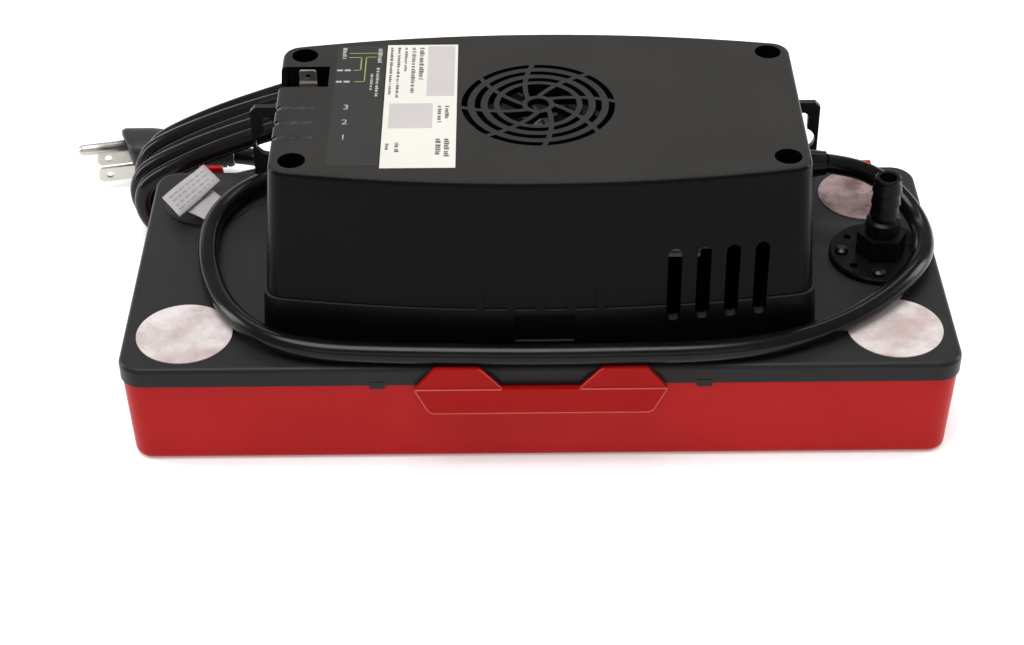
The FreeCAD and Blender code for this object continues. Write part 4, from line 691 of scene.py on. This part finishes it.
def lamp_number(mark, x, y, look):
    """One plain number beside an indicator lamp."""
    curve = bpy.data.curves.new(f"lamp_number_{mark}", "FONT")
    curve.body = mark
    curve.size = NUMBER_SIZE * MM
    curve.extrude = INK_FILM / 2 * MM
    shape = bpy.data.objects.new(f"number_shape_{mark}", curve)
    mesh = bpy.data.meshes.new_from_object(shape)
    mesh.transform(Matrix.Translation(Vector((x, y, HOUSING_TOP + NUMBER_RAISE)) * MM))
    bpy.data.objects.remove(shape)
    seat(f"lamp_number_{mark}", mesh, look)


def build_panel():
    """The dark film of the wiring panel beside the terminals."""
    film = plain("panel_film", (0.028, 0.027, 0.026), rough=0.42, size_mm=18, change=0.05, depth=0.02,
                 Specular_IOR_Level=0.16)
    slabs("wiring_panel", [WIRING_PANEL], HOUSING_TOP, HOUSING_TOP + PANEL_FILM, film)


def build_panel_print(rng):
    """The strokes and the diagram on the wiring panel, and the lamps' numbers."""
    pale = plain("panel_ink", (0.34, 0.34, 0.33), rough=0.5, size_mm=8, change=0.1, depth=0.01)
    trace = plain("trace_ink", (0.26, 0.28, 0.08), rough=0.5, size_mm=8, change=0.1, depth=0.01)
    top = HOUSING_TOP + PANEL_FILM
    strokes = [stroke for line in PANEL_LINES for stroke in dashes(rng, line)]
    strokes += [((x, y), (x + MARK_SIZE[0], y + MARK_SIZE[1])) for x in MARKS_X for y in MARKS_Y]
    slabs("panel_strokes", strokes, top, top + INK_FILM, pale)
    traces = [trace_rectangle(start, finish) for start, finish in DIAGRAM]
    slabs("panel_traces", traces, top, top + INK_FILM, trace)
    for mark, x, y in LAMP_NUMBERS:
        lamp_number(mark, x, y, pale)


# The tag's flaps, by their corners. Places on a flap are shares of its length and width.
TAG_UPPER = [(-143.9, 31.9, 52.0), (-130.4, 55.4, 52.0), (-122.7, 43.2, 52.0), (-135.7, 18.9, 52.0)]
TAG_LOWER = [(-133.4, 25.1, 50.0), (-125.8, 40.5, 50.0), (-121.5, 35.0, 49.6), (-125.6, 19.6, 49.6)]
UPPER_SAG = 0.5
LOWER_SAG = 0.3
PAPER_WAVE = 0.25
WAVES_ALONG = 5
WAVES_ACROSS = 3
PAPER_THICK = 0.3
FLAP_COLUMNS = 8
FLAP_ROWS = 5
TAG_ROWS = (0.22, 0.42, 0.62, 0.80)
TAG_ROW_START = 0.08
TAG_ROW_LAST = 0.9
TAG_ROW_END = 0.93
TAG_STROKE = (0.05, 0.15)
TAG_GAP = 0.04
TAG_STROKE_HALF = 0.035
TAG_STROKE_RAISE = 0.1


def paper_spot(corners, along, across, sag):
    """A place on a sheet between four corners, which sags in its middle and waves a little."""
    a, b, c, d = (Vector(corner) for corner in corners)
    spot = a.lerp(b, along).lerp(d.lerp(c, along), across)
    belly = sag * math.sin(math.pi * along) * math.sin(math.pi * across)
    spot.z += belly + PAPER_WAVE * math.sin(WAVES_ALONG * along + WAVES_ACROSS * across)
    return spot


def flap(name, corners, sag):
    """One flap of the tag."""
    points, faces = [], []
    for column in range(FLAP_COLUMNS + 1):
        for row in range(FLAP_ROWS + 1):
            points.append(paper_spot(corners, column / FLAP_COLUMNS, row / FLAP_ROWS, sag))
    for column in range(FLAP_COLUMNS):
        for row in range(FLAP_ROWS):
            first = column * (FLAP_ROWS + 1) + row
            faces.append((first, first + 1, first + FLAP_ROWS + 2, first + FLAP_ROWS + 1))
    sheet = piece(name, points, faces, LOOKS["flag_paper"])
    thick = sheet.modifiers.new("paper", "SOLIDIFY")
    thick.thickness = PAPER_THICK * MM
    for face in sheet.data.polygons:
        face.use_smooth = True
    return sheet


def build_tag_strokes():
    """Rows of faint strokes on the tag's upper flap."""
    faint = plain("tag_ink", (0.26, 0.245, 0.25), rough=0.6, size_mm=6, change=0.1, depth=0.01)
    rng = random.Random(7)
    points, faces = [], []
    for row in TAG_ROWS:
        low, high = row - TAG_STROKE_HALF, row + TAG_STROKE_HALF
        start = TAG_ROW_START
        while start < TAG_ROW_LAST:
            end = min(TAG_ROW_END, start + rng.uniform(*TAG_STROKE))
            first = len(points)
            for along, across in ((start, low), (end, low), (end, high), (start, high)):
                spot = paper_spot(TAG_UPPER, along, across, UPPER_SAG)
                spot.z += TAG_STROKE_RAISE
                points.append(spot)
            faces.append((first, first + 1, first + 2, first + 3))
            start = end + TAG_GAP
    piece("tag_strokes", points, faces, faint)


def build_tag():
    """The paper tag folded on the cord."""
    upper = flap("tag_upper", TAG_UPPER, UPPER_SAG)
    flap("tag_lower", TAG_LOWER, LOWER_SAG)
    build_tag_strokes()
    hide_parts("cord_flag")


# The plug's body by its sections: the place along X, half the width, half the height and the squareness.
PLUG_BODY = [
    (-173.0, 8.8, 8.4, 3.0),
    (-172.4, 10.1, 9.7, 3.4),
    (-170.8, 10.8, 10.3, 3.6),
    (-161.0, 11.0, 10.4, 3.4),
    (-156.0, 10.6, 10.0, 3.2),
    (-151.0, 9.2, 8.8, 2.8),
    (-146.0, 7.6, 7.4, 2.4),
    (-142.0, 6.5, 6.4, 2.1),
]
PLUG_CENTRE = (125.5, 10.8)
PLUG_FACE = PLUG_BODY[0][0]
PLUG_TURN = math.radians(12)
ROUND = 2

# The sleeve's ribs start at X and get thinner towards the cord, with grooves between them.
RIBS = 5
RIB_FIRST = -141.0
RIB_PITCH = 2.6
RIB_WIDTH = 1.5
RIB_RADIUS = 6.2
RIB_TAPER = 0.3
GROOVE_START = 1.7
GROOVE_END = 2.4
GROOVE_RADIUS = 4.6

# The face leans by a share of the way across and up. The lean fades out at SLANT_END.
FACE_SLANT = 0.36
FACE_TILT = 0.2
SLANT_END = -146.0

# The pins, measured from the plug's face and from the floor. ROOT_DEPTH of them is inside the body.
ROOT_DEPTH = 4.0
BLADE_OFFSET = 6.35
BLADE_LOW = 4.0
BLADE_WIDTH = 6.35
BLADE_THICK = 1.5
BLADE_LENGTH = 14.0
BLADE_TIP_BACK = 1.4
BLADE_TIP_IN = 1.6
BLADE_HOLE_BACK = 4.6
BLADE_HOLE_RADIUS = 1.6
EARTH_HEIGHT = 16.4
EARTH_LENGTH = 21.5
EARTH_RADIUS = 2.4
EARTH_SIDES = 24
DOME_STEPS = 6
METAL_EDGE = 0.2


def sleeve_sections():
    """The ribs and grooves of the plug's sleeve."""
    sections = []
    for rib in range(RIBS):
        x = RIB_FIRST + rib * RIB_PITCH
        radius = RIB_RADIUS - rib * RIB_TAPER
        sections += [(x + along, radius, radius, ROUND) for along in (0, RIB_WIDTH)]
        sections += [(x + along, GROOVE_RADIUS, GROOVE_RADIUS, ROUND) for along in (GROOVE_START, GROOVE_END)]
    return sections


def build_plug_body():
    """The plug's moulded body with its slanting face and ribbed sleeve."""
    rubber = plain("plug_rubber", (0.012, 0.012, 0.012), rough=0.42, size_mm=6, change=0.12, depth=0.06,
                   Specular_IOR_Level=0.35)
    body = loft_along_x("plug_moulding", PLUG_CENTRE, PLUG_BODY + sleeve_sections(), rubber)
    for vertex in body.data.vertices:
        share = max(0.0, (SLANT_END * MM - vertex.co.x) / ((SLANT_END - PLUG_FACE) * MM))
        across = vertex.co.y - PLUG_CENTRE[0] * MM
        upward = vertex.co.z - PLUG_CENTRE[1] * MM
        vertex.co.x -= (across * FACE_SLANT + upward * FACE_TILT) * share
    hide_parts("plug_body")


def plug_blade(name, y):
    """One flat blade with a cut tip and a hole, drawn along X from the plug's face."""
    low, high, tip = BLADE_LOW, BLADE_LOW + BLADE_WIDTH, -BLADE_LENGTH
    outline = [
        (ROOT_DEPTH, low),
        (ROOT_DEPTH, high),
        (tip + BLADE_TIP_BACK, high),
        (tip, high - BLADE_TIP_IN),
        (tip, low + BLADE_TIP_IN),
        (tip + BLADE_TIP_BACK, low),
    ]
    hole = (tip + BLADE_HOLE_BACK, (low + high) / 2, BLADE_HOLE_RADIUS)
    blade = outline_piece(name, outline, y - BLADE_THICK / 2, BLADE_THICK, LOOKS["tinned_brass"],
                          "cover_body", [hole])
    soft_edges(blade, METAL_EDGE)
    return blade


def earth_pin():
    """The round earth pin with a domed tip, drawn along X from the plug's face."""
    sections = []
    for step in range(1, DOME_STEPS + 1):
        angle = math.pi / 2 * step / DOME_STEPS
        radius = EARTH_RADIUS * math.sin(angle)
        sections.append((-EARTH_LENGTH + EARTH_RADIUS * (1 - math.cos(angle)), radius, radius, ROUND))
    sections.append((ROOT_DEPTH, EARTH_RADIUS, EARTH_RADIUS, ROUND))
    return loft_along_x("earth_pin", (0, EARTH_HEIGHT), sections, LOOKS["tinned_brass"],
                        EARTH_SIDES)


def build_plug():
    """The plug's body and its three pins, which point out of its turned face."""
    build_plug_body()
    pins = [plug_blade("blade_near", -BLADE_OFFSET), plug_blade("blade_far", BLADE_OFFSET), earth_pin()]
    face = Matrix.Translation(Vector((PLUG_FACE, PLUG_CENTRE[0], 0)) * MM)
    for pin in pins:
        pin.data.transform(face @ Matrix.Rotation(PLUG_TURN, 4, "Z"))
    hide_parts("plug_blades")


# The alarm terminals. Below its shoulder each spade is folded double, a little wider, with two dimples.
SPADE_LEFT = -86.9
SPADE_RIGHT = -80.5
SPADE_FOOT = 97.0
SPADE_THICK = 0.8
SPADE_TIP_DOWN = 0.8
SPADE_TIP_IN = 0.7
SPADE_HOLE_DOWN = 2.4
SPADE_HOLE_RADIUS = 0.95
FOLD_OUT = 0.2
DIMPLE_ASIDE = 1.5
DIMPLE_DOWN = 1.2
DIMPLE_RADIUS = 0.4
REAR_SPADE_Y = 24.4
REAR_SPADE_TOP = HOUSING_TOP + 0.3
REAR_SHOULDER = HOUSING_TOP - 4.6
FRONT_SPADE_Y = 16.6
FRONT_SPADE_TOP = HOUSING_TOP - 3.4
FRONT_SHOULDER = HOUSING_TOP - 8.0


def spade(name, y, top, shoulder):
    """An upright spade with a hole, and its folded foot."""
    left, right, foot = SPADE_LEFT, SPADE_RIGHT, SPADE_FOOT
    middle = (left + right) / 2
    nickel = LOOKS["tinned_brass"]
    upright = [
        (left, foot),
        (right, foot),
        (right, top - SPADE_TIP_DOWN),
        (right - SPADE_TIP_IN, top),
        (left + SPADE_TIP_IN, top),
        (left, top - SPADE_TIP_DOWN),
    ]
    hole = (middle, top - SPADE_HOLE_DOWN, SPADE_HOLE_RADIUS)
    front = y - SPADE_THICK / 2
    blade = outline_piece(f"{name}_blade", upright, front, SPADE_THICK, nickel,
                          "cover_body", [hole])
    left, right = left - FOLD_OUT, right + FOLD_OUT
    folded = [(left, foot), (right, foot), (right, shoulder), (left, shoulder)]
    asides = (-DIMPLE_ASIDE, DIMPLE_ASIDE)
    dimples = [(middle + aside, shoulder - DIMPLE_DOWN, DIMPLE_RADIUS) for aside in asides]
    fold = outline_piece(f"{name}_fold", folded, front - SPADE_THICK, SPADE_THICK, nickel,
                         "cover_body", dimples)
    soft_edges(fold, METAL_EDGE)
    return blade


def build_spades():
    """The alarm terminals; the rear one ends level with the housing's top."""
    rear = spade("rear_spade", REAR_SPADE_Y, REAR_SPADE_TOP, REAR_SHOULDER)
    spade("front_spade", FRONT_SPADE_Y, FRONT_SPADE_TOP, FRONT_SHOULDER)
    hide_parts("spade_terminals")


# The latch in the XZ plane; its fronts and the middles of its raised lines are places along Y.
LATCH_BAR = [(-38.6, 24.3), (38.6, 24.3), (40.2, 25.4), (44.8, 35.2), (-44.8, 35.2), (-40.2, 25.4)]
LATCH_EAR = [(44.8, 34.9), (37.9, 43.5), (36.9, 44.0), (22.2, 44.0), (21.2, 43.5), (13.6, 34.9)]
BAR_RIM = [(44.6, 34.9), (40.1, 25.5), (38.5, 24.5)]
CREASE = [(14.0, 35.1), (44.6, 35.1)]
EAR_RIM_INSET = 0.3
BAR_FRONT = -66.7
BAR_THICK = 2.4
BAR_EDGE = 0.45
EAR_FRONT = -66.3
EAR_THICK = 1.9
EAR_EDGE = 0.4
LATCH_EDGE_STEPS = 3
BAR_RIM_Y = -66.6
CREASE_Y = -66.5
EAR_RIM_Y = -66.0
BEAD_RADIUS = 0.28


def bead(name, line, y, look):
    """A thin raised line along points in the XZ plane, on the latch."""
    curve = bpy.data.curves.new(name, "CURVE")
    curve.dimensions = "3D"
    curve.bevel_depth = BEAD_RADIUS * MM
    curve.bevel_resolution = 3
    curve.use_fill_caps = True
    spline = curve.splines.new("POLY")
    spline.points.add(len(line) - 1)
    for point, (x, z) in zip(spline.points, line):
        point.co = (x * MM, y * MM, z * MM, 1)
    seat(name, curve, look, "latch")


def build_latch():
    """The latch: a bar that stands prouder than its two ears, with raised lines along its edges and creases
    painted paler as a painted highlight.
    """
    red = latch_red()
    # Painted highlight: the raised lines on the bar's edges, the ears' edges and the creases take a paler
    # red.
    edge = plain("latch_edge_highlight", (0.50, 0.045, 0.035), rough=0.35, size_mm=8, change=0.1, depth=0.01)
    bar = outline_piece("latch_bar", LATCH_BAR, BAR_FRONT, BAR_THICK, red, "latch")
    soft_edges(bar, BAR_EDGE, LATCH_EDGE_STEPS)
    bead("latch_rim", [(-x, z) for x, z in BAR_RIM] + BAR_RIM[::-1], BAR_RIM_Y, edge)
    for name, side in (("right", 1), ("left", -1)):
        outline = [(side * x, z) for x, z in LATCH_EAR]
        ear = outline_piece(f"latch_ear_{name}", outline, EAR_FRONT, EAR_THICK, red, "latch")
        soft_edges(ear, EAR_EDGE, LATCH_EDGE_STEPS)
        bead(f"latch_crease_{name}", [(side * x, z) for x, z in CREASE], CREASE_Y, edge)
        rim = [(x - side * EAR_RIM_INSET, z - EAR_RIM_INSET) for x, z in outline]
        bead(f"latch_ear_rim_{name}", rim, EAR_RIM_Y, edge)
    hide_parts("front_latch")


print_rng = random.Random(11)
build_panel()
build_label(print_rng)
build_panel_print(print_rng)
build_tag()
build_plug()
build_spades()
build_latch()

# The floor and the lights, in metres and watts. Each softbox has its place, its aim, its width and height.
FLOOR_HALF = 6.0
FLOOR_GLOW = 0.22
ROOM_LIGHT = 0.3
WHITE = (1, 1, 1, 1)
KEY_STRENGTH = 2.6
KEY_SPREAD = math.radians(38)
KEY_DIRECTION = Vector((0.12, 0.12, -1.0))
SOFTBOXES = {
    "behind": ((0, 0.9, 1.25), (0, 0, 0.05), 1.6, 0.2, 4),
    "backdrop": ((0, 2.4, 0.5), (0, 0, 0.3), 4.0, 0.8, 9),
    "left_side": ((-1.0, 0.2, 0.35), (0, 0, 0.05), 0.3, 0.6, 4),
    "right_side": ((1.0, 0.2, 0.35), (0, 0, 0.05), 0.3, 0.6, 4),
    "front": ((0, -1.3, 0.6), (0, 0, 0.03), 1.4, 0.5, 2),
}


def build_floor():
    """A plain pale floor."""
    data = bpy.data.meshes.new("floor")
    signs = ((-1, -1), (1, -1), (1, 1), (-1, 1))
    data.from_pydata([(x * FLOOR_HALF, y * FLOOR_HALF, 0) for x, y in signs], [], [(0, 1, 2, 3)])
    floor = collection_add(bpy.data.objects.new("floor", data))
    g = Graph("floor_paint").set(Roughness=0.9, Specular_IOR_Level=0.0, Emission_Color=WHITE,
                                 Emission_Strength=FLOOR_GLOW)
    g.feed("Base Color", g.patches(400, detail=2, start=0.84, stop=0.86))
    dress(floor, g.material)


def aim(lamp, direction):
    """Turn a lamp so that it shines in a direction."""
    lamp.rotation_euler = direction.to_track_quat("-Z", "Y").to_euler()


def softbox(name, at, target, width, height, watts):
    """A soft rectangular light."""
    data = bpy.data.lights.new(name, "AREA")
    data.shape = "RECTANGLE"
    data.size = width
    data.size_y = height
    data.energy = watts
    lamp = collection_add(bpy.data.objects.new(name, data))
    lamp.location = at
    aim(lamp, Vector(target) - Vector(at))


def build_light():
    """Soft studio light: a pale room, a broad key light and a few large softboxes."""
    world = bpy.data.worlds.new("studio")
    bpy.context.scene.world = world
    world.use_nodes = True
    sky = world.node_tree.nodes["Background"]
    sky.inputs["Color"].default_value = WHITE
    sky.inputs["Strength"].default_value = ROOM_LIGHT
    key = bpy.data.lights.new("key", "SUN")
    key.energy = KEY_STRENGTH
    key.angle = KEY_SPREAD
    aim(collection_add(bpy.data.objects.new("key", key)), KEY_DIRECTION)
    for name, setting in SOFTBOXES.items():
        softbox(name, *setting)
    bpy.context.scene.view_settings.view_transform = "Standard"


build_floor()
build_light()
